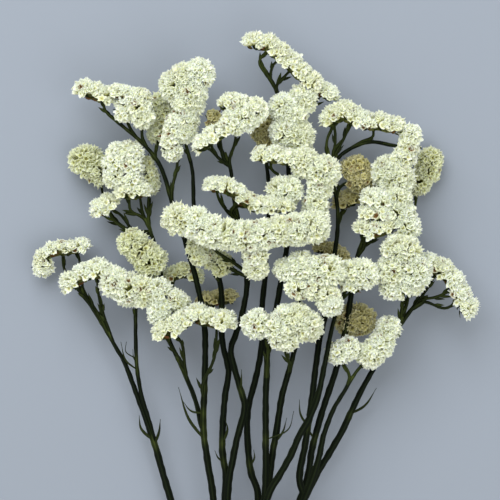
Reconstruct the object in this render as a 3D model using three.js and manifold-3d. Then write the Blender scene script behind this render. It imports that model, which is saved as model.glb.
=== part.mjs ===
// Dried statice bunch, lying on a surface.
// Winged green stems run up from one band, branch, and carry one-sided combs of papery calyces.
// All sizes in mm. x is across the bunch, y runs from the band to the flowers, z is height.
import * as THREE from 'three';
import { mergeVertices } from 'three/addons/utils/BufferGeometryUtils.js';
import Module from 'manifold-3d';

const wasm = await Module();
wasm.setup();

// Driving dimensions
const nodeGap = 0.35;            // air between neighbouring pieces
const rachisGap = 0.45;          // air between a comb's flat underside and its stalk
const stemTip = 3.7;             // half width of a stem over its wings
const stemTipTop = 2.3;          // the same at the top of a stem
const wingValley = 0.46;         // depth of the grooves between wings, as a part of the half width
const branchTip = 1.9;           // half width of a branch
const rachisTip = 1.5;           // half width of the stalk along a comb
const steepRise = 0.7;           // a branch that leaves its comb more steeply is framed across the bunch
const stemStep = 58;             // distance between sections of a stem
const branchStep = 60;           // the same on a branch, and on the stalk along a comb
const rachisStep = 36;
const buttEnd = -75;             // y of the cut ends below the band
const valleyPart = 0.62;         // radius between florets, as a part of the comb's radius
const combSpread = 220;          // degrees round the stalk that the florets cover
const floretLength = 15.3;       // a floret's length along the comb
const floretWidth = 11.4;        // and across it, before the columns are rounded off
const throatDepth = 1.7;         // how far a floret's middle is dished
const lobes = 4;                 // corners of a floret's rim
const rimPleat = 0.35;           // rise and fall of a floret's rim
const lumpLength = 16;           // florets stand in tufts this far apart along a comb
const bandInner = 14.6;
const bandOuter = 17.1;
const bandTurn = 3.4;            // width of one turn of the band
const bandTurns = 3;
const bandSides = 12;
const gripLength = 16;            // the stems run side by side over this length
const bundleDrop = 3.6;          // the stems' middle lies this much above the band's own
const bractEvery = 90;           // a pointed scale leaf grows at about this spacing
const bractLength = 13;
const [leavesFrom, leavesTo] = [130, 250];
const taperFrom = 130;           // a stem tapers from here
const taperOver = 330;           // over this length
const groundHeight = 0;

const colours = { green: 0x26331c, white: 0xf2f1e2, cream: 0xe6e3c4, olive: 0xb4ac7c, band: 0xb59a6a };

const bandHeight = bandOuter * Math.cos(Math.PI / bandSides);
const vec = (p) => new THREE.Vector3(...p);

// Seeded random numbers, so that each build is the same
let seed = 20417;
function random() {
  seed = (seed * 1664525 + 1013904223) % 4294967296;
  return seed / 4294967296;
}

// Closed solids and meshes
function toSolid(geometry) {
  const bare = geometry.clone();
  bare.deleteAttribute('normal');
  bare.deleteAttribute('uv');
  const merged = mergeVertices(bare, 1e-4);
  return new wasm.Manifold(new wasm.Mesh({
    numProp: 3,
    vertProperties: new Float32Array(merged.attributes.position.array),
    triVerts: new Uint32Array(merged.index.array),
  }));
}

function fromLists(points, faces) {
  const geometry = new THREE.BufferGeometry();
  const numbers = points.flatMap((p) => [p.x, p.y, p.z]);
  geometry.setAttribute('position', new THREE.Float32BufferAttribute(numbers, 3));
  geometry.setIndex(faces.flat());
  return geometry;
}

// The largest connected body of a solid: what a cut leaves loose is dropped
function largestBody(solid) {
  const mesh = solid.getMesh();
  const count = mesh.vertProperties.length / mesh.numProp;
  const owner = Array.from({ length: count }, (_, i) => i);
  const find = (i) => {
    while (owner[i] !== i) {
      owner[i] = owner[owner[i]];
      i = owner[i];
    }
    return i;
  };
  for (let t = 0; t < mesh.triVerts.length; t += 3) {
    owner[find(mesh.triVerts[t])] = find(mesh.triVerts[t + 1]);
    owner[find(mesh.triVerts[t + 1])] = find(mesh.triVerts[t + 2]);
  }
  const at = (i) => vec(mesh.vertProperties.slice(i * mesh.numProp, i * mesh.numProp + 3));
  const volumes = new Map();
  for (let t = 0; t < mesh.triVerts.length; t += 3) {
    const [a, b, c] = [0, 1, 2].map((k) => at(mesh.triVerts[t + k]));
    const root = find(mesh.triVerts[t]);
    volumes.set(root, (volumes.get(root) ?? 0) + a.dot(b.cross(c)) / 6);
  }
  const best = [...volumes].reduce((x, y) => (y[1] > x[1] ? y : x))[0];
  const geometry = new THREE.BufferGeometry();
  const kept = [];
  for (let t = 0; t < mesh.triVerts.length; t += 3) {
    if (find(mesh.triVerts[t]) === best) {
      kept.push(mesh.triVerts[t], mesh.triVerts[t + 1], mesh.triVerts[t + 2]);
    }
  }
  const places = new Map();
  const points = [];
  const index = kept.map((i) => {
    if (!places.has(i)) {
      places.set(i, points.length / 3);
      points.push(...at(i).toArray());
    }
    return places.get(i);
  });
  geometry.setAttribute('position', new THREE.Float32BufferAttribute(points, 3));
  geometry.setIndex(index);
  return geometry;
}

// A curve through points, sampled at even steps, with a frame that doesn't twist
function samplePath(points, step) {
  const curve = new THREE.CatmullRomCurve3(points, false, 'centripetal');
  const count = Math.max(2, Math.round(curve.getLength() / step));
  return curve.getSpacedPoints(count);
}

function framesAlong(path, firstUp) {
  const tangents = path.map((p, i) => {
    const a = path[Math.max(0, i - 1)];
    const b = path[Math.min(path.length - 1, i + 1)];
    return b.clone().sub(a).normalize();
  });
  const up = firstUp.clone();
  const turn = new THREE.Quaternion();
  return tangents.map((t, i) => {
    if (i > 0) up.applyQuaternion(turn.setFromUnitVectors(tangents[i - 1], t));
    up.addScaledVector(t, -up.dot(t)).normalize();
    return { up: up.clone(), side: t.clone().cross(up) };
  });
}

// Tube with a star section: `wings` ridges with a groove between each two
function wingedTube(path, radiusAt, wings, valley, up) {
  const frames = framesAlong(path, up);
  const around = valley < 1 ? wings * 2 : wings;
  const points = [];
  path.forEach((p, i) => {
    const r = radiusAt(i / (path.length - 1));
    for (let j = 0; j < around; j += 1) {
      const angle = (j * 2 * Math.PI) / around;
      const reach = valley < 1 && j % 2 ? r * valley : r;
      points.push(p.clone()
        .addScaledVector(frames[i].up, reach * Math.cos(angle))
        .addScaledVector(frames[i].side, reach * Math.sin(angle)));
    }
  });
  points.push(path[0].clone(), path[path.length - 1].clone());
  const faces = [];
  const last = (path.length - 1) * around;
  for (let j = 0; j < around; j += 1) {
    const k = (j + 1) % around;
    faces.push([points.length - 2, k, j]);
    faces.push([points.length - 1, last + j, last + k]);
    for (let i = 0; i < last; i += around) {
      faces.push([i + j, i + k, i + around + k], [i + j, i + around + k, i + around + j]);
    }
  }
  return fromLists(points, faces);
}

// Stems. Each is a list of points up from the band, and `at` is its place in the grip
const stems = {
  stem_1: { at: [-10.2, 5.9], line: [[-51, 132, 18], [-58, 156, 19], [-63, 174, 20], [-72, 200, 22],
    [-78, 216, 23], [-88, 242, 25], [-96, 256, 27], [-100, 266, 28]] },
  stem_2: { at: [-6.8, 11.8], line: [[-15, 132, 46], [-20, 164, 46], [-23, 188, 46], [-22, 228, 46],
    [-22, 268, 46], [-27, 300, 46], [-38, 340, 46], [-48, 370, 46], [-58, 400, 44], [-70, 416, 43],
    [-86, 430, 42], [-98, 440, 40]] },
  stem_3: { at: [-6.8, 0], line: [[-6, 132, 28], [-5, 148, 28], [-8, 170, 28], [-6, 212, 28],
    [-3, 234, 28], [-8, 258, 28], [-9, 300, 30], [-13, 316, 32], [-22, 336, 36], [-30, 360, 38],
    [-32, 396, 42], [-36, 412, 45]] },
  stem_4: { at: [-3.4, -5.9], line: [[21, 132, 22], [15, 152, 22], [12, 188, 22], [13, 204, 22],
    [20, 232, 23], [24, 256, 24], [24, 284, 26], [27, 316, 28], [26, 340, 28], [30, 366, 28],
    [28, 400, 26], [26, 410, 26]] },
  stem_5: { at: [3.4, 5.9], line: [[26, 132, 46], [27, 180, 46], [27, 212, 47], [28, 236, 48],
    [29, 262, 50], [36, 288, 51], [39, 306, 52], [44, 334, 52], [47, 350, 52], [47, 372, 49],
    [45, 400, 46], [43, 424, 36], [40, 446, 36], [34, 464, 40], [27, 476, 44]] },
  stem_6: { at: [0, 0], line: [[29, 140, 34], [32, 164, 37], [36, 188, 41], [40, 214, 45],
    [47, 240, 52], [51, 258, 57], [54, 292, 61], [56, 306, 63]] },
  stem_7: { at: [0, 11.8], line: [[30, 138, 60], [38, 152, 60], [47, 168, 60], [54, 184, 60],
    [61, 196, 60], [68, 213, 60], [74, 240, 60], [80, 270, 58], [87, 296, 57]] },
  stem_8: { at: [10.2, 5.9], line: [[57, 132, 44], [54, 148, 44], [58, 172, 44], [62, 196, 44],
    [66, 228, 44], [70, 258, 44], [77, 290, 44], [82, 326, 44], [85, 352, 44], [84, 372, 43],
    [80, 388, 42]] },
  stem_9: { at: [6.8, 0], line: [[61, 148, 30], [64, 168, 30], [69, 188, 30], [75, 208, 30],
    [83, 232, 31], [90, 260, 36], [95, 290, 40], [99, 320, 40], [106, 342, 40], [112, 368, 39],
    [118, 384, 38]] },
  stem_10: { at: [6.8, 11.8], line: [[64, 148, 56], [69, 164, 56], [74, 186, 56], [82, 206, 55],
    [90, 219, 54], [97, 231, 53]] },
  stem_11: { at: [3.4, -5.9], line: [[69, 150, 18], [75, 160, 18], [89, 184, 19], [102, 212, 21],
    [115, 236, 24], [122, 246, 27], [134, 268, 35], [137, 278, 40]] },
  stem_12: { at: [-3.4, 5.9], line: [[-3, 142, 38], [0, 160, 38], [4, 180, 38], [10, 206, 38],
    [6, 222, 39], [1, 240, 40], [-1, 252, 41], [3, 264, 43], [8, 280, 45], [12, 304, 48],
    [10, 328, 51], [6, 352, 52], [1, 376, 51], [-1, 396, 52], [-6, 410, 55]] },
};

// Heads, from the front of the bunch to the back. A comb has a radius, the way its florets face,
// its line, and where it hangs on a stem the stem's name and the points that its branch passes
const faceFront = [0, 0.45, 0.9];
const faceTilt = [0, 0.8, 0.6];
const faceUp = [0, 1, 0.25];
const faceAbove = new THREE.Vector3(0, 0, 1);
const heads = {
  head_h: { tone: 'white', combs: [
    { r: 12, up: faceFront, line: [[-43, 357, 82], [-34, 355, 85], [-22, 350, 86], [-8, 345, 88],
      [6, 343, 88], [19, 344, 88], [32, 346, 87], [45, 347, 85], [57, 350, 84], [66, 350, 83]],
      stem: 'stem_12', via: [[4, 320, 58], [-14, 333, 70]] },
    { r: 8.8, up: faceFront, line: [[16, 338, 85], [19, 326, 82], [18, 317, 79]] },
  ] },
  head_q2: { tone: 'white', combs: [
    { r: 9, up: faceFront, line: [[51, 302, 77], [66, 300, 78]], stem: 'stem_6', via: [[54, 292, 66]] },
    { r: 9.4, up: faceFront, line: [[75, 296, 78], [78, 288, 79]] },
  ] },
  head_q1: { tone: 'white', combs: [
    { r: 12.2, up: faceFront, line: [[54, 318, 76], [66, 316, 76], [78, 314, 76]],
      stem: 'stem_6', via: [[57, 310, 67]] },
    { r: 8.2, up: faceFront, line: [[41, 317, 74], [47, 316, 75]] },
  ] },
  head_r: { tone: 'white', combs: [
    { r: 11.4, up: faceFront, line: [[18, 274, 75], [28, 272, 77], [38, 270, 78]],
      stem: 'stem_5', via: [[28, 236, 53], [29, 256, 66]] },
    { r: 11.2, up: faceFront, line: [[41, 278, 76], [52, 277, 77], [61, 272, 75]] },
    { r: 8.4, up: faceFront, line: [[37, 262, 75], [45, 260, 75]],
      stem: 'stem_6', via: [[46, 240, 58], [42, 252, 66]] },
  ] },
  head_q4: { tone: 'white', combs: [
    { r: 11.6, up: faceFront, line: [[96, 313, 71], [106, 313, 72]],
      stem: 'stem_7', via: [[90, 298, 60], [94, 304, 64]] },
    { r: 7.6, up: faceFront, line: [[94, 302, 70], [103, 304, 70]] },
  ] },
  head_g3: { tone: 'white', combs: [
    { r: 12, up: faceFront, line: [[56, 402, 66], [67, 398, 68], [74, 393, 66]],
      stem: 'stem_5', via: [[48, 384, 52], [60, 394, 59]] },
    { r: 8.8, up: faceTilt, line: [[23, 406, 63], [34, 406, 65], [45, 403, 66]],
      stem: 'stem_5', via: [[46, 386, 50], [32, 396, 56]] },
    { r: 8, up: faceFront, line: [[68, 382, 66], [72, 380, 64]] },
  ] },
  head_k: { tone: 'white', combs: [
    { r: 8.8, up: faceTilt, line: [[-15, 382, 66], [-8, 382, 68], [2, 378, 69], [11, 371, 69],
      [22, 366, 69], [32, 366, 70], [42, 366, 69]], stem: 'stem_12', via: [[-1, 362, 57]] },
  ] },
  head_g4: { tone: 'white', combs: [
    { r: 10.8, up: faceFront, line: [[37, 380, 63], [46, 379, 65]],
      stem: 'stem_5', via: [[46, 362, 53], [43, 368, 57]] },
  ] },
  head_g5: { tone: 'white', combs: [
    { r: 10, up: faceFront, line: [[66, 369, 64], [67, 357, 64]],
      stem: 'stem_5', via: [[50, 350, 54], [58, 356, 57]] },
  ] },
  head_e: { tone: 'white', combs: [
    { r: 9, up: faceTilt, line: [[-23, 415, 66], [-15, 422, 68], [-6, 426, 69]],
      stem: 'stem_12', via: [[-9, 404, 56], [-17, 412, 60]] },
    { r: 10.6, up: faceFront, line: [[0, 434, 67], [11, 438, 67], [19, 444, 66]],
      stem: 'stem_12', via: [[-2, 404, 56], [3, 420, 59]] },
    { r: 9, up: faceFront, line: [[-3, 448, 64], [7, 447, 65]] },
  ] },
  head_d5: { tone: 'white', combs: [
    { r: 9.8, up: faceTilt, line: [[-55, 265, 58], [-48, 268, 59], [-38, 274, 60]],
      stem: 'branch_left', via: [[-40, 240, 43], [-49, 255, 50]] },
    { r: 10, up: faceTilt, line: [[-28, 278, 62], [-18, 276, 63], [-6, 274, 65]],
      stem: 'stem_2', via: [[-24, 222, 50], [-14, 246, 56]] },
  ] },
  head_o: { tone: 'white', combs: [
    { r: 12.2, up: faceFront, line: [[130, 332, 62], [139, 330, 63]],
      stem: 'stem_11', via: [[137, 288, 44], [138, 316, 51]] },
    { r: 12.8, up: faceFront, line: [[127, 316, 62], [146, 314, 62]] },
    { r: 8.4, up: faceFront, line: [[126, 302, 60], [138, 302, 61], [146, 305, 60]] },
  ] },
  head_n: { tone: 'white', combs: [
    { r: 12.4, up: faceFront, line: [[132, 374, 51], [134, 361, 52], [138, 349, 52]] },
    { r: 9.8, up: faceFront, line: [[112, 372, 53], [122, 370, 54]] },
    { r: 9.8, up: faceFront, line: [[110, 361, 54], [121, 359, 55]] },
    { r: 9.6, up: faceTilt, line: [[105, 348, 54], [115, 347, 56], [125, 350, 56]],
      stem: 'stem_9', via: [[106, 334, 43], [106, 340, 47]] },
  ] },
  head_a4: { tone: 'white', combs: [
    { r: 11.8, up: faceFront, line: [[-46, 462, 54], [-37, 470, 57], [-25, 472, 58]] },
    { r: 12.4, up: faceFront, line: [[-34, 458, 57], [-34, 449, 57]] },
    { r: 9, up: faceFront, line: [[-38, 442, 56], [-36, 434, 55], [-37, 426, 54]],
      stem: 'stem_3', via: [[-37, 418, 48]] },
    { r: 7.4, up: faceFront, line: [[-44, 435, 55], [-49, 422, 53], [-48, 410, 50]],
      stem: 'stem_2', via: [[-48, 382, 47], [-44, 402, 47]] },
  ] },
  head_f: { tone: 'white', combs: [
    { r: 9.4, up: [0.5, 0.7, 0.5], line: [[17, 498, 48], [26, 497, 50], [35, 491, 51], [46, 482, 51],
      [55, 473, 51], [64, 465, 51]], stem: 'stem_5', via: [[30, 470, 43], [22, 483, 45]] },
    { r: 9.6, up: faceFront, line: [[59, 458, 50], [58, 451, 49]],
      stem: 'stem_5', via: [[42, 456, 40], [52, 458, 43]] },
  ] },
  head_g1: { tone: 'white', combs: [
    { r: 12.2, up: faceFront, line: [[42, 447, 50], [48, 439, 51]], stem: 'stem_5', via: [[44, 436, 41]] },
    { r: 12.8, up: faceFront, line: [[42, 427, 50], [53, 422, 52]] },
  ] },
  head_l: { tone: 'white', combs: [
    { r: 10.6, up: faceTilt, line: [[80, 437, 49], [90, 441, 51], [99, 436, 50]],
      stem: 'stem_8', via: [[79, 398, 43], [76, 418, 45]] },
    { r: 9.8, up: faceTilt, line: [[107, 433, 49], [118, 433, 49], [131, 430, 47]],
      stem: 'branch_right', via: [[104, 419, 42], [113, 423, 43]] },
  ] },
  head_f3: { tone: 'white', combs: [
    { r: 8, up: faceTilt, line: [[73, 459, 44], [78, 456, 44]],
      stem: 'stem_5', via: [[46, 440, 37], [62, 446, 38]] },
  ] },
  head_m1: { tone: 'white', combs: [
    { r: 8.2, up: faceFront, line: [[144, 425, 48], [142, 415, 49], [138, 406, 48]],
      stem: 'branch_right', via: [[131, 416, 42]] },
    { r: 13, up: faceFront, line: [[126, 396, 46], [133, 388, 47]], stem: 'stem_9', via: [[120, 386, 39]] },
  ] },
  head_a2: { tone: 'white', combs: [
    { r: 7.8, up: faceTilt, line: [[-93, 458, 49], [-86, 456, 49]] },
    { r: 8.2, up: faceTilt, line: [[-79, 454, 50], [-72, 454, 50]] },
    { r: 7.2, up: faceFront, line: [[-86, 450, 49], [-87, 441, 48]],
      stem: 'stem_2', via: [[-82, 430, 43]] },
    { r: 8.4, up: faceFront, line: [[-74, 448, 50], [-72, 438, 49]],
      stem: 'stem_2', via: [[-72, 422, 44]] },
  ] },
  head_a1: { tone: 'white', combs: [
    { r: 9.4, up: faceTilt, line: [[-119, 460, 42], [-111, 458, 43], [-102, 454, 43]],
      stem: 'stem_2', via: [[-102, 444, 40]] },
  ] },
  head_d2: { tone: 'white', combs: [
    { r: 10, up: faceTilt, line: [[-129, 304, 38], [-123, 310, 40], [-114, 314, 41], [-103, 314, 42],
      [-96, 310, 43]], stem: 'stem_1', via: [[-111, 281, 28], [-120, 295, 32]] },
    { r: 11.8, up: faceFront, line: [[-95, 307, 44], [-86, 302, 46], [-76, 298, 48], [-66, 300, 49],
      [-58, 298, 49]], stem: 'branch_low', via: [[-78, 278, 36]] },
    { r: 8.8, up: faceFront, line: [[-58, 286, 50], [-59, 280, 50]] },
    { r: 8.4, up: faceFront, line: [[-46, 294, 49], [-41, 288, 48]] },
  ] },
  head_b2: { tone: 'white', combs: [
    { r: 9, up: faceFront, line: [[-92, 411, 37], [-94, 401, 39], [-94, 390, 38]] },
    { r: 9, up: faceFront, line: [[-81, 411, 37], [-82, 400, 39], [-81, 387, 38]] },
    { r: 9.6, up: faceTilt, line: [[-86, 378, 37], [-74, 378, 37]],
      stem: 'branch_left', via: [[-72, 360, 30]] },
  ] },
  head_p: { tone: 'white', combs: [
    { r: 9.4, up: [0.6, 0.5, 0.6], line: [[157, 321, 40], [167, 316, 42], [176, 308, 42], [182, 297, 40],
      [188, 285, 38]], stem: 'stem_11', via: [[150, 291, 39], [158, 302, 39]] },
  ] },
  head_t2: { tone: 'white', combs: [
    { r: 9, up: faceTilt, line: [[84, 249, 50], [94, 254, 51]], stem: 'stem_10', via: [[94, 232, 50]] },
  ] },
  head_t3: { tone: 'white', combs: [
    { r: 10, up: faceFront, line: [[111, 247, 46], [121, 258, 47], [127, 270, 46]],
      stem: 'stem_10', via: [[101, 236, 49]] },
  ] },
  head_h4: { tone: 'cream', combs: [
    { r: 7.6, up: faceFront, line: [[-29, 335, 62], [-25, 327, 60]],
      stem: 'stem_12', via: [[-4, 318, 53]] },
  ] },
  head_bk4: { tone: 'cream', combs: [
    { r: 9, up: faceFront, line: [[-17, 326, 48], [-8, 321, 47]], stem: 'stem_3', via: [[-15, 314, 38]] },
  ] },
  head_e4: { tone: 'olive', combs: [
    { r: 6, up: faceUp, line: [[-15, 438, 48], [-14, 432, 48]],
      stem: 'stem_12', via: [[-10, 414, 53], [-13, 424, 49]] },
  ] },
  head_b4: { tone: 'white', combs: [
    { r: 9.2, up: faceTilt, line: [[-106, 364, 30], [-99, 368, 31]],
      stem: 'branch_left', via: [[-78, 344, 29], [-96, 356, 28]] },
  ] },
  head_c: { tone: 'cream', combs: [
    { r: 11.8, up: faceFront, line: [[-81, 338, 40], [-74, 332, 41], [-66, 322, 41]],
      stem: 'branch_left', via: [[-64, 318, 35]] },
  ] },
  head_a3: { tone: 'cream', combs: [
    { r: 8.2, up: faceFront, line: [[-59, 451, 30], [-57, 438, 31], [-61, 426, 30]],
      stem: 'stem_2', via: [[-62, 408, 37]] },
  ] },
  head_b2c: { tone: 'cream', combs: [
    { r: 6.6, up: faceUp, line: [[-71, 402, 24], [-67, 392, 25], [-66, 383, 24]],
      stem: 'branch_left', via: [[-68, 366, 27]] },
  ] },
  head_bk5: { tone: 'olive', combs: [
    { r: 8.4, up: faceFront, line: [[96, 398, 33], [102, 399, 34]] },
    { r: 8.8, up: faceFront, line: [[101, 388, 34], [108, 390, 35]], stem: 'stem_8', via: [[88, 384, 36]] },
  ] },
  head_bk3: { tone: 'olive', combs: [
    { r: 10, up: faceFront, line: [[26, 430, 32], [29, 424, 32]], stem: 'stem_4', via: [[26, 412, 26]] },
  ] },
  head_bk8: { tone: 'olive', combs: [
    { r: 7.4, up: faceTilt, line: [[72, 333, 23], [81, 330, 24], [88, 326, 24]],
      stem: 'stem_8', via: [[82, 322, 34]] },
  ] },
  head_bk7: { tone: 'olive', combs: [
    { r: 9.4, up: faceTilt, line: [[90, 370, 23], [97, 372, 23]], stem: 'stem_8', via: [[88, 360, 34]] },
  ] },
  head_t1: { tone: 'olive', combs: [
    { r: 12, up: faceFront, line: [[94, 275, 20], [105, 276, 20]], stem: 'stem_9', via: [[94, 268, 30]] },
  ] },
  head_d4: { tone: 'cream', combs: [
    { r: 8.2, up: faceTilt, line: [[-49, 310, 23], [-39, 314, 24], [-31, 310, 22]],
      stem: 'branch_left', via: [[-50, 296, 28]] },
  ] },
  head_d1: { tone: 'white', combs: [
    { r: 7.6, up: faceTilt, line: [[-154, 317, 18], [-153, 326, 19], [-144, 331, 20], [-133, 332, 20],
      [-122, 334, 20]], stem: 'stem_1', via: [[-108, 278, 26], [-124, 298, 21], [-137, 317, 16]] },
  ] },
  head_bk1: { tone: 'olive', combs: [
    { r: 7.6, up: faceUp, line: [[-22, 290, 13], [-13, 291, 13], [-2, 292, 13]],
      stem: 'stem_3', via: [[-14, 282, 20]] },
  ] },
  head_b1: { tone: 'cream', combs: [
    { r: 12, up: faceFront, line: [[-120, 406, 16], [-112, 401, 16], [-106, 396, 16]],
      stem: 'branch_left', via: [[-84, 348, 26], [-98, 360, 18], [-106, 378, 12]] },
  ] },
  head_m2: { tone: 'cream', combs: [
    { r: 10, up: [0.5, 0.6, 0.6], line: [[162, 406, 13], [158, 395, 13], [151, 387, 13]],
      stem: 'stem_11', via: [[142, 292, 30], [146, 330, 18], [149, 366, 10]] },
  ] },
};

// Side branches that carry several combs. Each grows from the named stem
const branches = {
  branch_left: { from: 'stem_2', r: 2.8, line: [[-25, 190, 44], [-29, 208, 42], [-36, 226, 40],
    [-44, 244, 37], [-52, 262, 34], [-55, 292, 32], [-58, 314, 33], [-64, 340, 32], [-70, 358, 30]] },
  branch_low: { from: 'stem_1', r: 2.4, line: [[-63, 174, 20], [-67, 192, 24], [-73, 212, 27],
    [-77, 236, 30], [-78, 262, 33], [-78, 280, 36]] },
  branch_right: { from: 'stem_8', r: 2.1, line: [[80, 388, 42], [84, 404, 42], [96, 414, 42],
    [112, 419, 42], [130, 416, 41]] },
};

// Faces are turned outwards where a shape came out inside out
function outward(geometry) {
  const solid = toSolid(geometry);
  if (solid.volume() > 0) return solid;
  const merged = geometry.index ? geometry.clone() : mergeVertices(geometry);
  merged.index.array.reverse();
  return toSolid(merged);
}

const unite = (solids) => solids.reduce((whole, next) => whole.add(next));

// The tube itself, and the room that other pieces leave round it. The three wings lie inside a
// three-sided section, whose sides move out by the gap when its corners move out by twice that
function stalk(path, radiusAt, valley, up) {
  const solid = outward(wingedTube(path, radiusAt, 3, valley, up));
  const longer = path.map((p) => p.clone());
  const end = longer.length - 1;
  longer[0].addScaledVector(path[1].clone().sub(path[0]).normalize(), -nodeGap);
  longer[end].addScaledVector(path[end - 1].clone().sub(path[end]).normalize(), -nodeGap);
  const room = outward(wingedTube(longer, (t) => radiusAt(t) + 2 * nodeGap, 3, 1, up));
  return { solid, room, path };
}

// The point on a path's straight stretches that lies nearest to a place
function nearest(path, place) {
  const feet = path.slice(1).map((end, i) => (
    new THREE.Line3(path[i], end).closestPointToPoint(place, true, new THREE.Vector3())));
  return feet.reduce((a, b) => (b.distanceTo(place) < a.distanceTo(place) ? b : a));
}

// A comb's own line: sections along it, with round ends, and the frame at each
function combSections({ r, up, line }) {
  const curve = new THREE.CatmullRomCurve3(line.map(vec), false, 'centripetal');
  const length = curve.getLength();
  const overhang = 0.72 * r;
  const count = Math.max(2, Math.round((length + 2 * overhang) / floretLength));
  const sections = [];
  for (let k = 0; k <= count; k += 1) {
    const along = -overhang + (k * (length + 2 * overhang)) / count;
    const inside = THREE.MathUtils.clamp(along / length, 0, 1);
    const past = along < 0 ? along : Math.max(0, along - length);
    const tangent = curve.getTangentAt(inside);
    const centre = curve.getPointAt(inside).addScaledVector(tangent, past);
    const round = Math.sqrt(1 - (past / (overhang * 1.12)) ** 2);
    const lump = 1 - 0.07 * Math.cos((2 * Math.PI * along) / lumpLength);
    const upward = vec(up).addScaledVector(tangent, -vec(up).dot(tangent)).normalize();
    const side = tangent.clone().cross(upward);
    sections.push({ centre, tangent, up: upward, side, scale: round, lump: Math.min(1, lump) });
  }
  return { sections, curve, length };
}

// Joins an outer ring to an inner one, both listed anticlockwise with rising angles
function stitchRings(outer, inner) {
  const faces = [];
  let i = 0;
  let j = 0;
  const angleOf = (ring, k) => ring[k % ring.length].angle + 360 * Math.floor(k / ring.length);
  while (i < outer.length || j < inner.length) {
    const stepOuter = j >= inner.length
      || (i < outer.length && angleOf(outer, i + 1) < angleOf(inner, j + 1));
    const o = outer[i % outer.length].index;
    const n = inner[j % inner.length].index;
    if (stepOuter) {
      faces.push([o, outer[(i + 1) % outer.length].index, n]);
      i += 1;
    } else {
      faces.push([o, inner[(j + 1) % inner.length].index, n]);
      j += 1;
    }
  }
  return faces;
}

// A comb: a slim core with a flat underside, its rounded side raised into tufts of florets
function combSolid(comb) {
  const { sections } = combSections(comb);
  const spread = THREE.MathUtils.degToRad(combSpread);
  const middle = comb.r * (1 + valleyPart) * 0.5;
  const columns = Math.max(3, Math.round((spread * middle) / floretWidth));
  const place = (section, angle, radius) => section.centre.clone()
    .addScaledVector(section.up, Math.cos(angle) * radius)
    .addScaledVector(section.side, Math.sin(angle) * radius);
  const angleAt = (j) => spread * (j / columns - 0.5);
  const points = [];
  const faces = [];
  const addPoint = (p) => points.push(p) - 1;
  const grid = sections.map((section) => Array.from({ length: columns + 1 }, (_, j) => (
    addPoint(place(section, angleAt(j), comb.r * valleyPart * section.scale)))));
  for (let k = 0; k + 1 < sections.length; k += 1) {
    const [low, high] = [grid[k], grid[k + 1]];
    faces.push([low[columns], low[0], high[0]], [low[columns], high[0], high[columns]]);
    for (let j = 0; j < columns; j += 1) {
      const corners = [low[j], low[j + 1], high[j + 1], high[j]];
      faces.push(...floretFaces(comb, sections[k], sections[k + 1], angleAt(j + 0.5), corners, points));
    }
  }
  const first = sections[0];
  const last = sections[sections.length - 1];
  const pole = comb.r * 0.16;
  const startPole = addPoint(place(first, 0, comb.r * 0.1).addScaledVector(first.tangent, -pole));
  const endPole = addPoint(place(last, 0, comb.r * 0.1).addScaledVector(last.tangent, pole));
  for (let j = 0; j <= columns; j += 1) {
    const next = (j + 1) % (columns + 1);
    faces.push([grid[0][next], grid[0][j], startPole]);
    faces.push([grid[grid.length - 1][j], grid[grid.length - 1][next], endPole]);
  }
  return outward(fromLists(points, faces));
}

// One floret: from its four corners in the grooves up to a pleated rim, then down into a dished
// throat
function floretFaces(comb, low, high, angle, corners, points) {
  const [a, b, c, d] = corners.map((i) => points[i]);
  const across = b.clone().add(c).sub(a).sub(d).multiplyScalar(0.5);
  const along = c.clone().add(d).sub(a).sub(b).multiplyScalar(0.5);
  const centre = low.centre.clone().add(high.centre).multiplyScalar(0.5);
  const out = across.clone().cross(along).normalize();
  const scale = (low.scale + high.scale) / 2;
  const reach = comb.r * scale * Math.min(low.lump, high.lump) * (0.93 + 0.07 * random());
  const lift = reach - a.clone().add(b).add(c).add(d).multiplyScalar(0.25).distanceTo(centre);
  const base = a.clone().add(b).add(c).add(d).multiplyScalar(0.25);
  const turn = random() * (360 / lobes);
  const rim = [];
  for (let i = 0; i < lobes; i += 1) {
    const angleDeg = 225 + ((turn + i * (360 / lobes)) % 360);
    const t = THREE.MathUtils.degToRad(angleDeg);
    const height = lift - rimPleat + rimPleat * random();
    points.push(base.clone().addScaledVector(out, height)
      .addScaledVector(across, 0.56 * Math.cos(t))
      .addScaledVector(along, 0.46 * Math.sin(t)));
    rim.push({ index: points.length - 1, angle: angleDeg });
  }
  rim.sort((p, q) => p.angle - q.angle);
  points.push(base.clone().addScaledVector(out, lift - throatDepth));
  const throat = points.length - 1;
  const outer = corners.map((index, i) => ({ index, angle: 225 + 90 * i }));
  const dish = rim.map((p, i) => [p.index, rim[(i + 1) % lobes].index, throat]);
  return [...stitchRings(outer, rim), ...dish];
}

// The room round a comb that other heads stay out of
function combRoom(comb) {
  const { sections } = combSections(comb);
  const sides = 8;
  const around = 1 / Math.cos(Math.PI / sides);
  const ends = [sections[0], sections[sections.length - 1]];
  const path = sections.map((s) => s.centre.clone());
  path[0].addScaledVector(ends[0].tangent, -comb.r * 0.3 - nodeGap);
  path[path.length - 1].addScaledVector(ends[1].tangent, comb.r * 0.3 + nodeGap);
  const radiusAt = (t) => {
    const k = Math.round(t * (sections.length - 1));
    const near = sections.slice(Math.max(0, k - 1), k + 2).map((s) => s.scale);
    return (comb.r * Math.max(...near) + nodeGap) * around;
  };
  return outward(wingedTube(path, radiusAt, sides, 1, sections[0].up));
}

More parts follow.
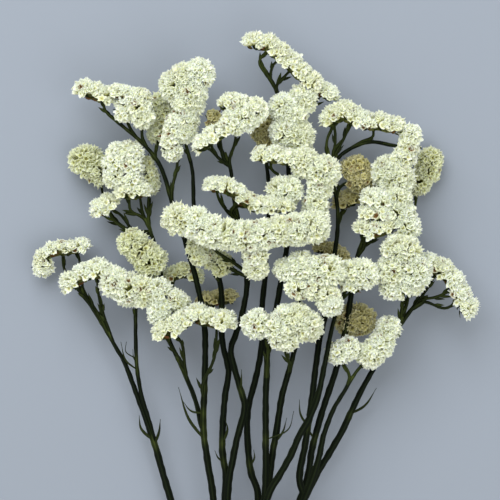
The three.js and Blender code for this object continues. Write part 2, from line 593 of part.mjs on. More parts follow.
// The stalk along a comb's underside, and the branch that leads from it down to the stem
function combStalks(comb, parentPath) {
  const { curve, length } = combSections(comb);
  const underside = comb.r * valleyPart * -Math.cos(THREE.MathUtils.degToRad(combSpread / 2));
  const count = Math.max(1, Math.round(length / rachisStep));
  const under = Array.from({ length: count + 1 }, (_, i) => 0.04 + (0.92 * i) / count).map((t) => {
    const tangent = curve.getTangentAt(t);
    const upward = vec(comb.up).addScaledVector(tangent, -vec(comb.up).dot(tangent)).normalize();
    return curve.getPointAt(t).addScaledVector(upward, -underside - rachisTip / 2 - rachisGap);
  });
  const via = comb.via.map(vec).reverse();
  const ends = [nearest(under, via[0]), nearest(parentPath, via[via.length - 1])];
  const branch = samplePath([ends[0], ...via, ends[1]], branchStep);
  const start = branch[1].clone().sub(branch[0]).normalize();
  const up = Math.abs(start.z) < steepRise ? faceAbove : new THREE.Vector3(1, 0, 0);
  return [
    stalk(under, () => rachisTip, 1, vec(comb.up).negate()),
    stalk(branch, (t) => THREE.MathUtils.lerp(rachisTip, branchTip, t), 1, up),
  ];
}

// Scale leaves: slim points that leave the stem upwards, by turns on its sides
function scaleLeaves(path) {
  const leaves = [];
  let next = leavesFrom + bractEvery * random();
  for (let i = 1; i + 1 < path.length && next < leavesTo; i += 1) {
    const [p, q] = [path[i], path[i + 1]];
    if (q.y >= next) {
      const t = THREE.MathUtils.clamp((next - p.y) / (q.y - p.y), 0, 1);
      const foot = p.clone().lerp(q, t);
      const along = q.clone().sub(p).normalize();
      const sideways = new THREE.Vector3(leaves.length % 2 ? 1 : -1, 0, 0.4 * (random() - 0.5));
      const tip = foot.clone().addScaledVector(along, bractLength)
        .addScaledVector(sideways, stemTip * 1.4);
      leaves.push(stalk([foot, tip], (u) => THREE.MathUtils.lerp(2.2, 0.35, u), 1, faceAbove));
      next += bractEvery * (0.75 + 0.5 * random());
    }
  }
  return leaves;
}

// Stems, each with all that grows from it
const bundleHeight = bandHeight - bundleDrop;
const splay = 1.35;
const stemPaths = {};
const green = {};
for (const [name, { at, line }] of Object.entries(stems)) {
  const butt = new THREE.Vector3(at[0] * splay, buttEnd, bandHeight + (at[1] - bundleDrop) * splay);
  const [gripLow, gripHigh] = [-gripLength / 2, gripLength / 2]
    .map((y) => new THREE.Vector3(at[0], y, bundleHeight + at[1]));
  const path = [butt, gripLow, ...samplePath([gripHigh, ...line.map(vec)], stemStep)];
  const fullLength = path.length - 1;
  const radiusAt = (t) => {
    const y = path[Math.round(t * fullLength)].y;
    const taper = THREE.MathUtils.clamp((y - taperFrom) / taperOver, 0, 1);
    return THREE.MathUtils.lerp(stemTip, stemTipTop, taper);
  };
  stemPaths[name] = path;
  green[name] = [stalk(path, radiusAt, wingValley, faceAbove), ...scaleLeaves(path)];
}
const owners = Object.fromEntries(Object.keys(stems).map((name) => [name, name]));
for (const [name, { from, r, line }] of Object.entries(branches)) {
  const foot = nearest(stemPaths[from], vec(line[0]));
  const path = samplePath([foot, ...line.map(vec)], stemStep * 0.8);
  stemPaths[name] = path;
  owners[name] = from;
  green[from].push(stalk(path, (t) => THREE.MathUtils.lerp(r, stemTipTop * 0.8, t), wingValley, faceAbove));
}
for (const { combs } of Object.values(heads)) {
  for (const comb of combs.filter((c) => c.stem)) {
    green[owners[comb.stem]].push(...combStalks(comb, stemPaths[comb.stem]));
  }
}

const group = new THREE.Group();
function addMesh(name, geometry, colour, roughness) {
  geometry.computeVertexNormals();
  const mesh = new THREE.Mesh(geometry, new THREE.MeshStandardMaterial({ color: colour, roughness }));
  mesh.name = name;
  group.add(mesh);
}

const rooms = [];
for (const [name, stalks] of Object.entries(green)) {
  addMesh(name, largestBody(unite(stalks.map((s) => s.solid))), colours.green, 0.75);
  rooms.push(unite(stalks.map((s) => s.room)));
}

// Heads. Each leaves room for the stalks and for the heads in front of it
const touches = (a, b) => {
  const [p, q] = [a.boundingBox(), b.boundingBox()];
  return [0, 1, 2].every((i) => p.min[i] < q.max[i] && q.min[i] < p.max[i]);
};
const ground = outward(new THREE.BoxGeometry(600, 900, 60).translate(0, 250, groundHeight - 30));
const taken = [...rooms, ground];
for (const [name, { tone, combs }] of Object.entries(heads)) {
  const whole = unite(combs.map(combSolid));
  const cut = taken.filter((room) => touches(room, whole))
    .reduce((solid, room) => solid.subtract(room), whole);
  addMesh(name, largestBody(cut), colours[tone], 0.9);
  taken.push(unite(combs.map(combRoom)));
}

// The band round the stems
function bandGeometry() {
  const width = bandTurn * bandTurns;
  const bevel = 0.6;
  const profile = [new THREE.Vector2(bandInner, -width / 2)];
  for (let i = 0; i < bandTurns; i += 1) {
    const low = -width / 2 + i * bandTurn;
    profile.push(
      new THREE.Vector2(bandOuter - bevel, low),
      new THREE.Vector2(bandOuter, low + bevel),
      new THREE.Vector2(bandOuter, low + bandTurn - bevel),
    );
  }
  profile.push(new THREE.Vector2(bandOuter - bevel, width / 2));
  profile.push(new THREE.Vector2(bandInner, width / 2));
  profile.push(new THREE.Vector2(bandInner, -width / 2));
  return new THREE.LatheGeometry(profile, bandSides, Math.PI / bandSides).translate(0, 0, bandHeight);
}
addMesh('tie_band', largestBody(outward(bandGeometry())), colours.band, 0.7);

// The origin is under the middle of the bunch, on the surface that it lies on
const box = new THREE.Box3().setFromObject(group);
const middle = box.getCenter(new THREE.Vector3());
group.position.set(-middle.x, -middle.y, -box.min.z);

export default group;
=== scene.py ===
# Dried statice bunch lying on a pale floor: dark winged stems, combs of papery calyces, one band.
# Lengths are in millimetres until a mesh is made. x is across the bunch, y runs from the band to
# the flowers, z is height. Stems, branches and combs follow the layout of the solids.
import math

import bpy
import mathutils
import numpy as np
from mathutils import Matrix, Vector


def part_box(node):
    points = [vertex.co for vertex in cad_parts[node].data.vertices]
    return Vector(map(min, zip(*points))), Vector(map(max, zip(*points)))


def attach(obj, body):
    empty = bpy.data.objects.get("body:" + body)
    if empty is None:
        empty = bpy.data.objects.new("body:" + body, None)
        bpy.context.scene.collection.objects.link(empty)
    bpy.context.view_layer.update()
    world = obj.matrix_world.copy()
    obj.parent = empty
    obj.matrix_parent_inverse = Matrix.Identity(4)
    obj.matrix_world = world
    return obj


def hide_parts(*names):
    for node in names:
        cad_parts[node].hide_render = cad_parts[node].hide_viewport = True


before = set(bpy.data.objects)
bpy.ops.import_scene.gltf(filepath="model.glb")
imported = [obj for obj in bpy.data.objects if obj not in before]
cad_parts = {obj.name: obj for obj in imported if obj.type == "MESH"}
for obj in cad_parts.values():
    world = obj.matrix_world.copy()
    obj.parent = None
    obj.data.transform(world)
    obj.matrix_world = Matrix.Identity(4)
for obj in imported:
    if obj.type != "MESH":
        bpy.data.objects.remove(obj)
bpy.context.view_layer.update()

mm = 0.001
bandLow, bandHigh = (np.array(corner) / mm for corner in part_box("tie_band"))
bandCentre = (bandLow + bandHigh) / 2
layoutShift = np.array([bandCentre[0], bandCentre[1], 0.0])  # from the layout's zero to the frame
groundClear = 0.25  # what lies on the surface is this far off the floor


# Layout of the bunch. A comb's calyces face one way: up at the viewer, up along the bunch, or
# nearly level along it
front = (0, 0.45, 0.9)
tilted = (0, 0.92, 0.4)
above = (0, 1, 0.25)


# A comb runs along a line. Where it hangs on a stem, each way lists the points that one of its
# branches passes. A head is some combs
def comb(radius, line, stem=None, *ways, up=front):
    return dict(radius=radius, up=np.array(up, float), line=line, stem=stem, ways=ways)


def head(name, *combs, tone="white"):
    heads[name] = tone, combs


stems = {
    "stem_1": dict(at=(-10.2, 5.9), line=[(-51, 132, 18), (-58, 156, 19), (-63, 174, 20), (-72, 200, 22),
        (-78, 216, 23), (-88, 242, 25), (-96, 256, 27), (-100, 266, 28)]),
    "stem_2": dict(at=(-6.8, 11.8), line=[(-15, 132, 46), (-20, 164, 46), (-23, 188, 46), (-22, 228, 46),
        (-22, 268, 46), (-27, 300, 46), (-38, 340, 46), (-48, 370, 46), (-58, 400, 44), (-70, 416, 43),
        (-86, 430, 42), (-98, 440, 40)]),
    "stem_3": dict(at=(-6.8, 0), line=[(-6, 132, 28), (-5, 148, 28), (-8, 170, 28), (-6, 212, 28),
        (-3, 234, 28), (-8, 258, 28), (-9, 300, 30), (-13, 316, 32), (-22, 336, 36), (-30, 360, 38),
        (-32, 396, 42), (-36, 412, 45)]),
    "stem_4": dict(at=(-3.4, -5.9), line=[(21, 132, 22), (15, 152, 22), (12, 188, 22), (13, 204, 22),
        (20, 232, 23), (24, 256, 24), (24, 284, 26), (27, 316, 28), (26, 340, 28), (30, 366, 28),
        (28, 400, 26), (26, 410, 26)]),
    "stem_5": dict(at=(3.4, 5.9), line=[(26, 132, 46), (27, 180, 46), (27, 212, 47), (28, 236, 48),
        (29, 262, 50), (36, 288, 51), (39, 306, 52), (44, 334, 52), (47, 350, 52), (47, 372, 49),
        (45, 400, 46), (43, 424, 36), (40, 446, 36), (34, 464, 40), (27, 476, 44)]),
    "stem_6": dict(at=(0, 0), line=[(29, 140, 34), (32, 164, 37), (36, 188, 41), (40, 214, 45),
        (47, 240, 52), (51, 258, 57), (54, 292, 61), (56, 306, 63)]),
    "stem_7": dict(at=(0, 11.8), line=[(30, 138, 60), (38, 152, 60), (47, 168, 60), (54, 184, 60),
        (61, 196, 60), (68, 213, 60), (74, 240, 60), (80, 270, 58), (87, 296, 57)]),
    "stem_8": dict(at=(10.2, 5.9), line=[(57, 132, 44), (54, 148, 44), (58, 172, 44), (62, 196, 44),
        (66, 228, 44), (70, 258, 44), (77, 290, 44), (82, 326, 44), (85, 352, 44), (84, 372, 43),
        (80, 388, 42)]),
    "stem_9": dict(at=(6.8, 0), line=[(61, 148, 30), (64, 168, 30), (69, 188, 30), (75, 208, 30),
        (83, 232, 31), (90, 260, 36), (95, 290, 40), (99, 320, 40), (106, 342, 40), (112, 368, 39),
        (118, 384, 38)]),
    "stem_10": dict(at=(6.8, 11.8), line=[(64, 148, 56), (69, 164, 56), (74, 186, 56), (82, 206, 55),
        (90, 219, 54), (97, 231, 53)]),
    "stem_11": dict(at=(3.4, -5.9), line=[(69, 150, 18), (75, 160, 18), (89, 184, 19), (102, 212, 21),
        (115, 236, 24), (122, 246, 27), (134, 268, 35), (137, 278, 40)]),
    "stem_12": dict(at=(-3.4, 5.9), line=[(-3, 142, 38), (0, 160, 38), (4, 180, 38), (10, 206, 38),
        (6, 222, 39), (1, 240, 40), (-1, 252, 41), (3, 264, 43), (8, 280, 45), (12, 304, 48), (10, 328, 51),
        (6, 352, 52), (1, 376, 51), (-1, 396, 52), (-6, 410, 55)]),
}

branches = {
    "branch_left": dict(grows="stem_2", radius=2.8, line=[(-25, 190, 44), (-29, 208, 42), (-36, 226, 40),
        (-44, 244, 37), (-52, 262, 34), (-55, 292, 32), (-58, 314, 33), (-64, 340, 32), (-70, 358, 30)]),
    "branch_low": dict(grows="stem_1", radius=2.4, line=[(-63, 174, 20), (-67, 192, 24), (-73, 212, 27),
        (-77, 236, 30), (-78, 262, 33), (-78, 280, 36)]),
    "branch_right": dict(grows="stem_8", radius=2.1, line=[(80, 388, 42), (84, 404, 42), (96, 414, 42),
        (112, 419, 42), (130, 416, 41)]),
}

heads = {}
head("h",
    comb(12, [(-43, 357, 82), (-34, 355, 85), (-22, 350, 86), (-8, 345, 88), (6, 343, 88), (19, 344, 88),
        (32, 346, 87), (45, 347, 85), (57, 350, 84), (66, 350, 83)], "stem_12",
        [(4, 320, 58), (-14, 333, 70)]),
    comb(8.8, [(16, 338, 85), (19, 326, 82), (18, 317, 79)]))
head("q2",
    comb(9, [(51, 302, 77), (66, 300, 78)], "stem_6", [(54, 292, 66)]),
    comb(9.4, [(75, 296, 78), (78, 288, 79)]))
head("q1",
    comb(12.2, [(54, 318, 76), (66, 316, 76), (78, 314, 76)], "stem_6", [(57, 310, 67)]),
    comb(8.2, [(41, 317, 74), (47, 316, 75)]))
head("r",
    comb(11.4, [(18, 274, 75), (28, 272, 77), (38, 270, 78)], "stem_5", [(28, 236, 53), (29, 256, 66)]),
    comb(11.2, [(41, 278, 76), (52, 277, 77), (61, 272, 75)]),
    comb(8.4, [(37, 262, 75), (45, 260, 75)], "stem_6", [(46, 240, 58), (42, 252, 66)]))
head("q4",
    comb(11.6, [(96, 313, 71), (106, 313, 72)], "stem_7", [(90, 298, 60), (94, 304, 64)]),
    comb(7.6, [(94, 302, 70), (103, 304, 70)], up=tilted))
head("g3",
    comb(12, [(56, 402, 66), (67, 398, 68), (74, 393, 66)], "stem_5", [(48, 384, 52), (60, 394, 59)]),
    comb(8.8, [(23, 406, 63), (34, 406, 65), (45, 403, 66)], "stem_5", [(46, 386, 50), (32, 396, 56)],
        up=tilted),
    comb(8, [(68, 382, 66), (72, 380, 64)]))
head("k",
    comb(8.8, [(-15, 382, 66), (-8, 382, 68), (2, 378, 69), (11, 371, 69), (22, 366, 69), (32, 366, 70),
        (42, 366, 69)], "stem_12", [(-1, 362, 57)], [(1, 364, 57), (8, 368, 62)],
        [(-3, 362, 57), (-10, 372, 62)], up=tilted))
head("g4", comb(10.8, [(37, 380, 63), (46, 379, 65)], "stem_5", [(46, 362, 53), (43, 368, 57)]))
head("g5", comb(10, [(66, 369, 64), (67, 357, 64)], "stem_5", [(50, 350, 54), (58, 356, 57)]))
head("e",
    comb(9, [(-23, 415, 66), (-15, 422, 68), (-6, 426, 69)], "stem_12", [(-9, 404, 56), (-17, 412, 60)],
        [(-7, 406, 57), (-9, 418, 61)], up=tilted),
    comb(10.6, [(0, 434, 67), (11, 438, 67), (19, 444, 66)], "stem_12", [(-2, 404, 56), (3, 420, 59)]),
    comb(9, [(-3, 448, 64), (7, 447, 65)], up=tilted))
head("d5",
    comb(9.8, [(-55, 265, 58), (-48, 268, 59), (-38, 274, 60)], "branch_left",
        [(-40, 240, 43), (-49, 255, 50)], [(-38, 238, 44), (-40, 256, 51)], up=tilted),
    comb(10, [(-28, 278, 62), (-18, 276, 63), (-6, 274, 65)], "stem_2", [(-24, 222, 50), (-14, 246, 56)],
        up=tilted))
head("o",
    comb(12.2, [(130, 332, 62), (139, 330, 63)], "stem_11", [(137, 288, 44), (138, 316, 51)]),
    comb(12.8, [(127, 316, 62), (146, 314, 62)]),
    comb(8.4, [(126, 302, 60), (138, 302, 61), (146, 305, 60)]))
head("n",
    comb(12.4, [(132, 374, 51), (134, 361, 52), (138, 349, 52)]),
    comb(9.8, [(112, 372, 53), (122, 370, 54)], up=tilted),
    comb(9.8, [(110, 361, 54), (121, 359, 55)], up=tilted),
    comb(9.6, [(105, 348, 54), (115, 347, 56), (125, 350, 56)], "stem_9", [(106, 334, 43), (106, 340, 47)],
        [(108, 336, 43), (115, 341, 48)], up=tilted))
head("a4",
    comb(11.8, [(-46, 462, 54), (-37, 470, 57), (-25, 472, 58)]),
    comb(12.4, [(-34, 458, 57), (-34, 449, 57)]),
    comb(9, [(-38, 442, 56), (-36, 434, 55), (-37, 426, 54)], "stem_3", [(-37, 418, 48)]),
    comb(7.4, [(-44, 435, 55), (-49, 422, 53), (-48, 410, 50)], "stem_2", [(-48, 382, 47), (-44, 402, 47)]))
head("f",
    comb(9.4, [(17, 498, 48), (26, 497, 50), (35, 491, 51), (46, 482, 51), (55, 473, 51), (64, 465, 51)],
        "stem_5", [(30, 470, 43), (22, 483, 45)], [(31, 470, 43), (33, 480, 46)],
        [(36, 464, 42), (43, 472, 46)], up=(0.5, 0.7, 0.5)),
    comb(9.6, [(59, 458, 50), (58, 451, 49)], "stem_5", [(42, 456, 40), (52, 458, 43)]))
head("g1",
    comb(12.2, [(42, 447, 50), (48, 439, 51)], "stem_5", [(44, 436, 41)]),
    comb(12.8, [(42, 427, 50), (53, 422, 52)]))
head("l",
    comb(10.6, [(80, 437, 49), (90, 441, 51), (99, 436, 50)], "stem_8", [(79, 398, 43), (76, 418, 45)],
        [(80, 398, 43), (83, 420, 45)], [(80, 400, 43), (90, 422, 45)], up=tilted),
    comb(9.8, [(107, 433, 49), (118, 433, 49), (131, 430, 47)], "branch_right",
        [(104, 419, 42), (113, 423, 43)], up=tilted))
head("f3", comb(8, [(73, 459, 44), (78, 456, 44)], "stem_5", [(46, 440, 37), (62, 446, 38)], up=tilted))
head("m1",
    comb(8.2, [(144, 425, 48), (142, 415, 49), (138, 406, 48)], "branch_right", [(131, 416, 42)]),
    comb(13, [(126, 396, 46), (133, 388, 47)], "stem_9", [(120, 386, 39)]))
head("a2",
    comb(7.8, [(-93, 458, 49), (-86, 456, 49)], up=tilted),
    comb(8.2, [(-79, 454, 50), (-72, 454, 50)], up=tilted),
    comb(7.2, [(-86, 450, 49), (-87, 441, 48)], "stem_2", [(-82, 430, 43)]),
    comb(8.4, [(-74, 448, 50), (-72, 438, 49)], "stem_2", [(-72, 422, 44)]))
head("a1",
    comb(9.4, [(-119, 460, 42), (-111, 458, 43), (-102, 454, 43)], "stem_2", [(-102, 444, 40)], up=tilted))
head("d2",
    comb(10, [(-129, 304, 38), (-123, 310, 40), (-114, 314, 41), (-103, 314, 42), (-96, 310, 43)], "stem_1",
        [(-111, 281, 28), (-120, 295, 32)], [(-105, 282, 29), (-108, 297, 34)], up=tilted),
    comb(11.8, [(-95, 307, 44), (-86, 302, 46), (-76, 298, 48), (-66, 300, 49), (-58, 298, 49)],
        "branch_low", [(-78, 278, 36)]),
    comb(8.8, [(-58, 286, 50), (-59, 280, 50)]),
    comb(8.4, [(-46, 294, 49), (-41, 288, 48)]))
head("b2",
    comb(9, [(-92, 411, 37), (-94, 401, 39), (-94, 390, 38)]),
    comb(9, [(-81, 411, 37), (-82, 400, 39), (-81, 387, 38)]),
    comb(9.6, [(-86, 378, 37), (-74, 378, 37)], "branch_left", [(-72, 360, 30)],
        [(-72, 358, 30), (-82, 364, 31)], up=tilted))
head("p",
    comb(9.4, [(157, 321, 40), (167, 316, 42), (176, 308, 42), (182, 297, 40), (188, 285, 38)], "stem_11",
        [(150, 291, 39), (158, 302, 39)], [(151, 291, 38), (164, 294, 38)], [(152, 290, 38), (172, 285, 37)],
        up=(0.6, 0.5, 0.6)))
head("t2", comb(9, [(84, 249, 50), (94, 254, 51)], "stem_10", [(94, 232, 50)]))
head("t3", comb(10, [(111, 247, 46), (121, 258, 47), (127, 270, 46)], "stem_10", [(101, 236, 49)]))
head("h4", comb(7.6, [(-29, 335, 62), (-25, 327, 60)], "stem_12", [(-4, 318, 53)]), tone="cream")
head("bk4", comb(9, [(-17, 326, 48), (-8, 321, 47)], "stem_3", [(-15, 314, 38)]), tone="cream")
head("e4",
    comb(6, [(-15, 438, 48), (-14, 432, 48)], "stem_12", [(-10, 414, 53), (-13, 424, 49)],
        up=above), tone="olive")
head("b4",
    comb(9.2, [(-106, 364, 30), (-99, 368, 31)], "branch_left", [(-78, 344, 29), (-96, 356, 28)],
        [(-80, 348, 29), (-90, 360, 28)], up=tilted))
head("c",
    comb(11.8, [(-81, 338, 40), (-74, 332, 41), (-66, 322, 41)], "branch_left",
        [(-64, 318, 35)]), tone="cream")
head("a3",
    comb(8.2, [(-59, 451, 30), (-57, 438, 31), (-61, 426, 30)], "stem_2", [(-62, 408, 37)]), tone="cream")
head("b2c",
    comb(6.6, [(-71, 402, 24), (-67, 392, 25), (-66, 383, 24)], "branch_left", [(-68, 366, 27)],
        up=above), tone="cream")
head("bk5",
    comb(8.4, [(96, 398, 33), (102, 399, 34)]),
    comb(8.8, [(101, 388, 34), (108, 390, 35)], "stem_8", [(88, 384, 36)]), tone="olive")
head("bk3", comb(10, [(26, 430, 32), (29, 424, 32)], "stem_4", [(26, 412, 26)]), tone="olive")
head("bk8",
    comb(7.4, [(72, 333, 23), (81, 330, 24), (88, 326, 24)], "stem_8", [(82, 322, 34)],
        up=tilted), tone="olive")
head("bk7", comb(9.4, [(90, 370, 23), (97, 372, 23)], "stem_8", [(88, 360, 34)], up=tilted), tone="olive")
head("t1", comb(12, [(94, 275, 28), (105, 276, 28)], "stem_9", [(94, 268, 30)]), tone="olive")
head("d4",
    comb(8.2, [(-49, 310, 23), (-39, 314, 24), (-31, 310, 22)], "branch_left", [(-50, 296, 28)],
        up=tilted), tone="cream")
head("d1",
    comb(7.6, [(-154, 317, 18), (-153, 326, 19), (-144, 331, 20), (-133, 332, 20), (-122, 334, 20)],
        "stem_1", [(-108, 278, 26), (-124, 298, 21), (-137, 317, 16)],
        [(-108, 279, 26), (-121, 300, 21), (-124, 320, 16)], up=tilted))
head("bk1",
    comb(7.6, [(-22, 290, 13), (-13, 291, 13), (-2, 292, 13)], "stem_3", [(-14, 282, 20)],
        up=above), tone="olive")
head("b1",
    comb(12, [(-120, 406, 16), (-112, 401, 16), (-106, 396, 16)], "branch_left",
        [(-84, 348, 26), (-98, 360, 18), (-106, 378, 12)]), tone="cream")
head("m2",
    comb(10, [(162, 406, 13), (158, 395, 13), (151, 387, 13)], "stem_11",
        [(142, 292, 30), (146, 330, 18), (149, 366, 10)]), tone="cream")


# Curves
fineStep = 0.5  # mm between the points of a comb's fine line; nearer points are one
spanPoints = 24  # points worked out on each span of a curve


# Point on a centripetal Catmull-Rom curve: each span is a cubic whose end slopes come from the
# neighbouring points, weighted by the square roots of the distances between them
def smoothPath(points, step):
    p = np.asarray(points, float)
    p = p[np.concatenate([np.linalg.norm(np.diff(p, axis=0), axis=1) > fineStep, [True]])]
    p = np.vstack([2 * p[0] - p[1], p, 2 * p[-1] - p[-2]])
    p0, p1, p2, p3 = p[:-3], p[1:-2], p[2:-1], p[3:]
    d0, d1, d2 = (np.sqrt(np.linalg.norm(b - a, axis=1))[:, None]
                  for a, b in ((p0, p1), (p1, p2), (p2, p3)))
    slope1 = ((p1 - p0) / d0 - (p2 - p0) / (d0 + d1) + (p2 - p1) / d1) * d1
    slope2 = ((p2 - p1) / d1 - (p3 - p1) / (d1 + d2) + (p3 - p2) / d2) * d1
    t = np.linspace(0, 1, spanPoints, endpoint=False)[:, None, None]
    square = (3 * (p2 - p1) - 2 * slope1 - slope2) * t**2
    cube = (2 * (p1 - p2) + slope1 + slope2) * t**3
    fine = (p1 + slope1 * t + square + cube).transpose(1, 0, 2).reshape(-1, 3)
    return evenPath(np.vstack([fine, p2[-1]]), step)


# The same path with its points at even steps
def evenPath(path, step):
    along = np.concatenate([[0], np.cumsum(np.linalg.norm(np.diff(path, axis=0), axis=1))])
    count = max(2, round(along[-1] / step))
    even = np.linspace(0, along[-1], count + 1)
    return np.stack([np.interp(even, along, path[:, k]) for k in range(3)], axis=1)


def unit(v):
    return v / np.maximum(np.linalg.norm(v, axis=-1, keepdims=True), 1e-9)


def lerp(a, b, t):
    return a + (b - a) * t


def ringAngles(count):
    return np.linspace(0, 2 * np.pi, count, endpoint=False)


# Tangent, up and side at each point of a path: each up is the one before it, made square to the
# new tangent, so it doesn't twist
def framesAlong(path, firstUp):
    tangent = unit(np.gradient(path, axis=0))
    ups = []
    up = np.array(firstUp, float)
    for t in tangent:
        up = up - up.dot(t) * t
        up = up / np.linalg.norm(up)
        ups.append(up)
    return tangent, np.array(ups), np.cross(tangent, np.array(ups))


# Meshes. A part is its points, its blocks of faces with the same number of corners, and one value
# per point for each attribute
def part(points, faces, **values):
    points = np.asarray(points, float).reshape(-1, 3)
    spread = {key: np.broadcast_to(value, len(points)).astype(float) for key, value in values.items()}
    return dict(points=points, faces=[np.asarray(block, int) for block in faces], values=spread)


# Quads between neighbouring rings of points, where here[i, k] is the number of point k on ring i
def ringQuads(here):
    onward = np.roll(here, -1, 1)
    return np.stack([here[:-1], onward[:-1], onward[1:], here[1:]], -1).reshape(-1, 4)


# Fans of triangles that close the first and the last ring, each round its own end point
def endFans(here, ends):
    low = np.stack([np.roll(here[0], -1), here[0], np.full(len(here[0]), ends[0])], -1)
    high = np.stack([here[-1], np.roll(here[-1], -1), np.full(len(here[0]), ends[1])], -1)
    return np.vstack([low, high])


# Tube along a path: the point at section i and angle a lies reach(i, a) from the path, towards
# up cos a + side sin a. Its ends are closed with a fan
def tube(path, firstUp, angles, reach, **values):
    _, up, side = framesAlong(path, firstUp)
    count, around = len(path), len(angles)
    reach = np.broadcast_to(reach, (count, around))
    ring = up[:, None] * np.cos(angles)[:, None] + side[:, None] * np.sin(angles)[:, None]
    points = (path[:, None] + reach[..., None] * ring).reshape(-1, 3)
    here = np.arange(count * around).reshape(count, around)
    fans = endFans(here, count * around + np.arange(2))
    points = np.vstack([points, path[:1], path[-1:]])
    full = {}
    for key, value in values.items():
        value = np.broadcast_to(value, (count, around))
        full[key] = np.concatenate([value.ravel(), [value[0].mean(), value[-1].mean()]])
    return part(points, [ringQuads(here)[:, ::-1], fans[:, ::-1]], **full)


# Blocks of faces repeated for `count` copies of a shape that has `each` points
def repeated(blocks, count, each):
    offsets = (np.arange(count) * each)[:, None, None]
    return [(block[None] + offsets).reshape(-1, block.shape[1]) for block in blocks]


# Slim pointed leaves, each a folded blade with a closed diamond section. At u from foot to tip the
# blade's middle is foot + direction length u + outward length curl u squared, and its half width is
# width / 2 times the sine of pi u to the power `belly`
bladeShape = dict(stations=(0.1, 0.32, 0.58, 0.82), belly=0.7, fold=0.35, thickness=0.35)


def blades(foot, direction, outward, length, width, curl, **values):
    b = bladeShape
    stationsAt = np.array(b["stations"])
    foot, direction, outward = (np.atleast_2d(np.asarray(v, float)) for v in (foot, direction, outward))
    count = max(len(v) for v in (foot, direction, outward))
    foot, direction, outward = (np.broadcast_to(v, (count, 3)) for v in (foot, direction, outward))
    length, width, curl = (np.broadcast_to(v, count).astype(float) for v in (length, width, curl))
    direction = unit(direction)
    outward = unit(outward - (outward * direction).sum(1, keepdims=True) * direction)
    side = np.cross(direction, outward)
    u = np.concatenate([[0], stationsAt, [1]])
    middle = (foot[:, None] + direction[:, None] * (length[:, None] * u)[..., None]
              + outward[:, None] * (length * curl)[:, None, None] * (u**2)[None, :, None])
    half = 0.5 * width[:, None] * np.sin(np.pi * stationsAt**b["belly"])
    fold = b["fold"] * half[..., None] * outward[:, None]
    thick = 0.5 * b["thickness"] * outward[:, None]
    stations = middle[:, 1:-1]
    left = stations + half[..., None] * side[:, None] + fold
    right = stations - half[..., None] * side[:, None] + fold
    rings = np.stack([left, stations + thick, right, stations - thick], 2)
    each = len(stationsAt) * 4 + 2
    points = np.concatenate([rings.reshape(count, -1, 3), middle[:, :1], middle[:, -1:]], 1)
    here = np.arange(each - 2).reshape(-1, 4)
    faces = repeated([ringQuads(here), endFans(here, (each - 2, each - 1))], count, each)
    full = {key: np.repeat(np.broadcast_to(value, count), each) for key, value in values.items()}
    return part(points, faces, **full)


def addObject(name, data):
    made = bpy.data.objects.new(name, data)
    bpy.context.scene.collection.objects.link(made)
    return made


# A piece: its parts joined in one mesh, moved into the frame and turned to metres
def makePiece(name, parts, material, replaced, smooth=False):
    keys = sorted({key for p in parts for key in p["values"]})
    points = np.vstack([p["points"] for p in parts]) + layoutShift
    points[:, 2] = np.maximum(points[:, 2], groundClear)
    offsets = np.cumsum([0] + [len(p["points"]) for p in parts])
    blocks = [block + offset for p, offset in zip(parts, offsets) for block in p["faces"]]
    sizes = np.concatenate([np.full(len(block), block.shape[1]) for block in blocks])
    corners = np.concatenate([block.ravel() for block in blocks])
    mesh = bpy.data.meshes.new(name)
    mesh.vertices.add(len(points))
    mesh.vertices.foreach_set("co", (points * mm).ravel())
    mesh.loops.add(len(corners))
    mesh.loops.foreach_set("vertex_index", corners)
    mesh.polygons.add(len(sizes))
    mesh.polygons.foreach_set("loop_start", np.concatenate([[0], np.cumsum(sizes)[:-1]]))
    mesh.polygons.foreach_set("use_smooth", np.full(len(sizes), smooth))
    for key in keys:
        values = [p["values"].get(key, np.zeros(len(p["points"]))) for p in parts]
        mesh.attributes.new(key, "FLOAT", "POINT").data.foreach_set("value", np.concatenate(values))
    mesh.update(calc_edges=True)
    mesh.materials.append(material)
    piece = addObject(name, mesh)
    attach(piece, "root")
    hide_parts(*replaced)
    return piece


def triangleCount(pieces):
    return sum(len(p.vertices) - 2 for piece in pieces for p in piece.data.polygons)


# Materials
def linear(hexColour):
    # an sRGB hex value turned to linear light
    srgb = np.array([int(hexColour[i:i + 2], 16) / 255 for i in (1, 3, 5)])
    return (*np.where(srgb <= 0.04045, srgb / 12.92, ((srgb + 0.055) / 1.055) ** 2.4), 1.0)


def addNode(material, kind, settings=None, values=None, links=None):
    # adds a shader node: its own settings, the values of its inputs, and the sockets that feed them
    tree = material.node_tree
    made = tree.nodes.new("ShaderNode" + kind)
    for key, value in (settings or {}).items():
        setattr(made, key, value)
    for key, value in (values or {}).items():
        made.inputs[key].default_value = value
    for key, socket in (links or {}).items():
        tree.links.new(socket, made.inputs[key])
    return made


def setStops(ramp, places, colours):
    # the hex colours along a ramp
    elements = ramp.color_ramp.elements
    while len(elements) < len(places):
        elements.new(0.5)
    for element, place, hexColour in zip(elements, places, colours):
        element.position = place
        element.color = linear(hexColour)


def newMaterial(name):
    material = bpy.data.materials.new(name)
    material.use_nodes = True
    material.node_tree.nodes.clear()
    return material


def finishMaterial(material, values, links, height=None, bumps=None):
    # ends in the shader and the output, with bumps where a height feeds them
    if height:
        bump = addNode(material, "Bump", None, bumps, dict(Height=height))
        links = {**links, "Normal": bump.outputs["Normal"]}
    shader = addNode(material, "BsdfPrincipled", None, values, links)
    addNode(material, "OutputMaterial", links=dict(Surface=shader.outputs["BSDF"]))
    return material


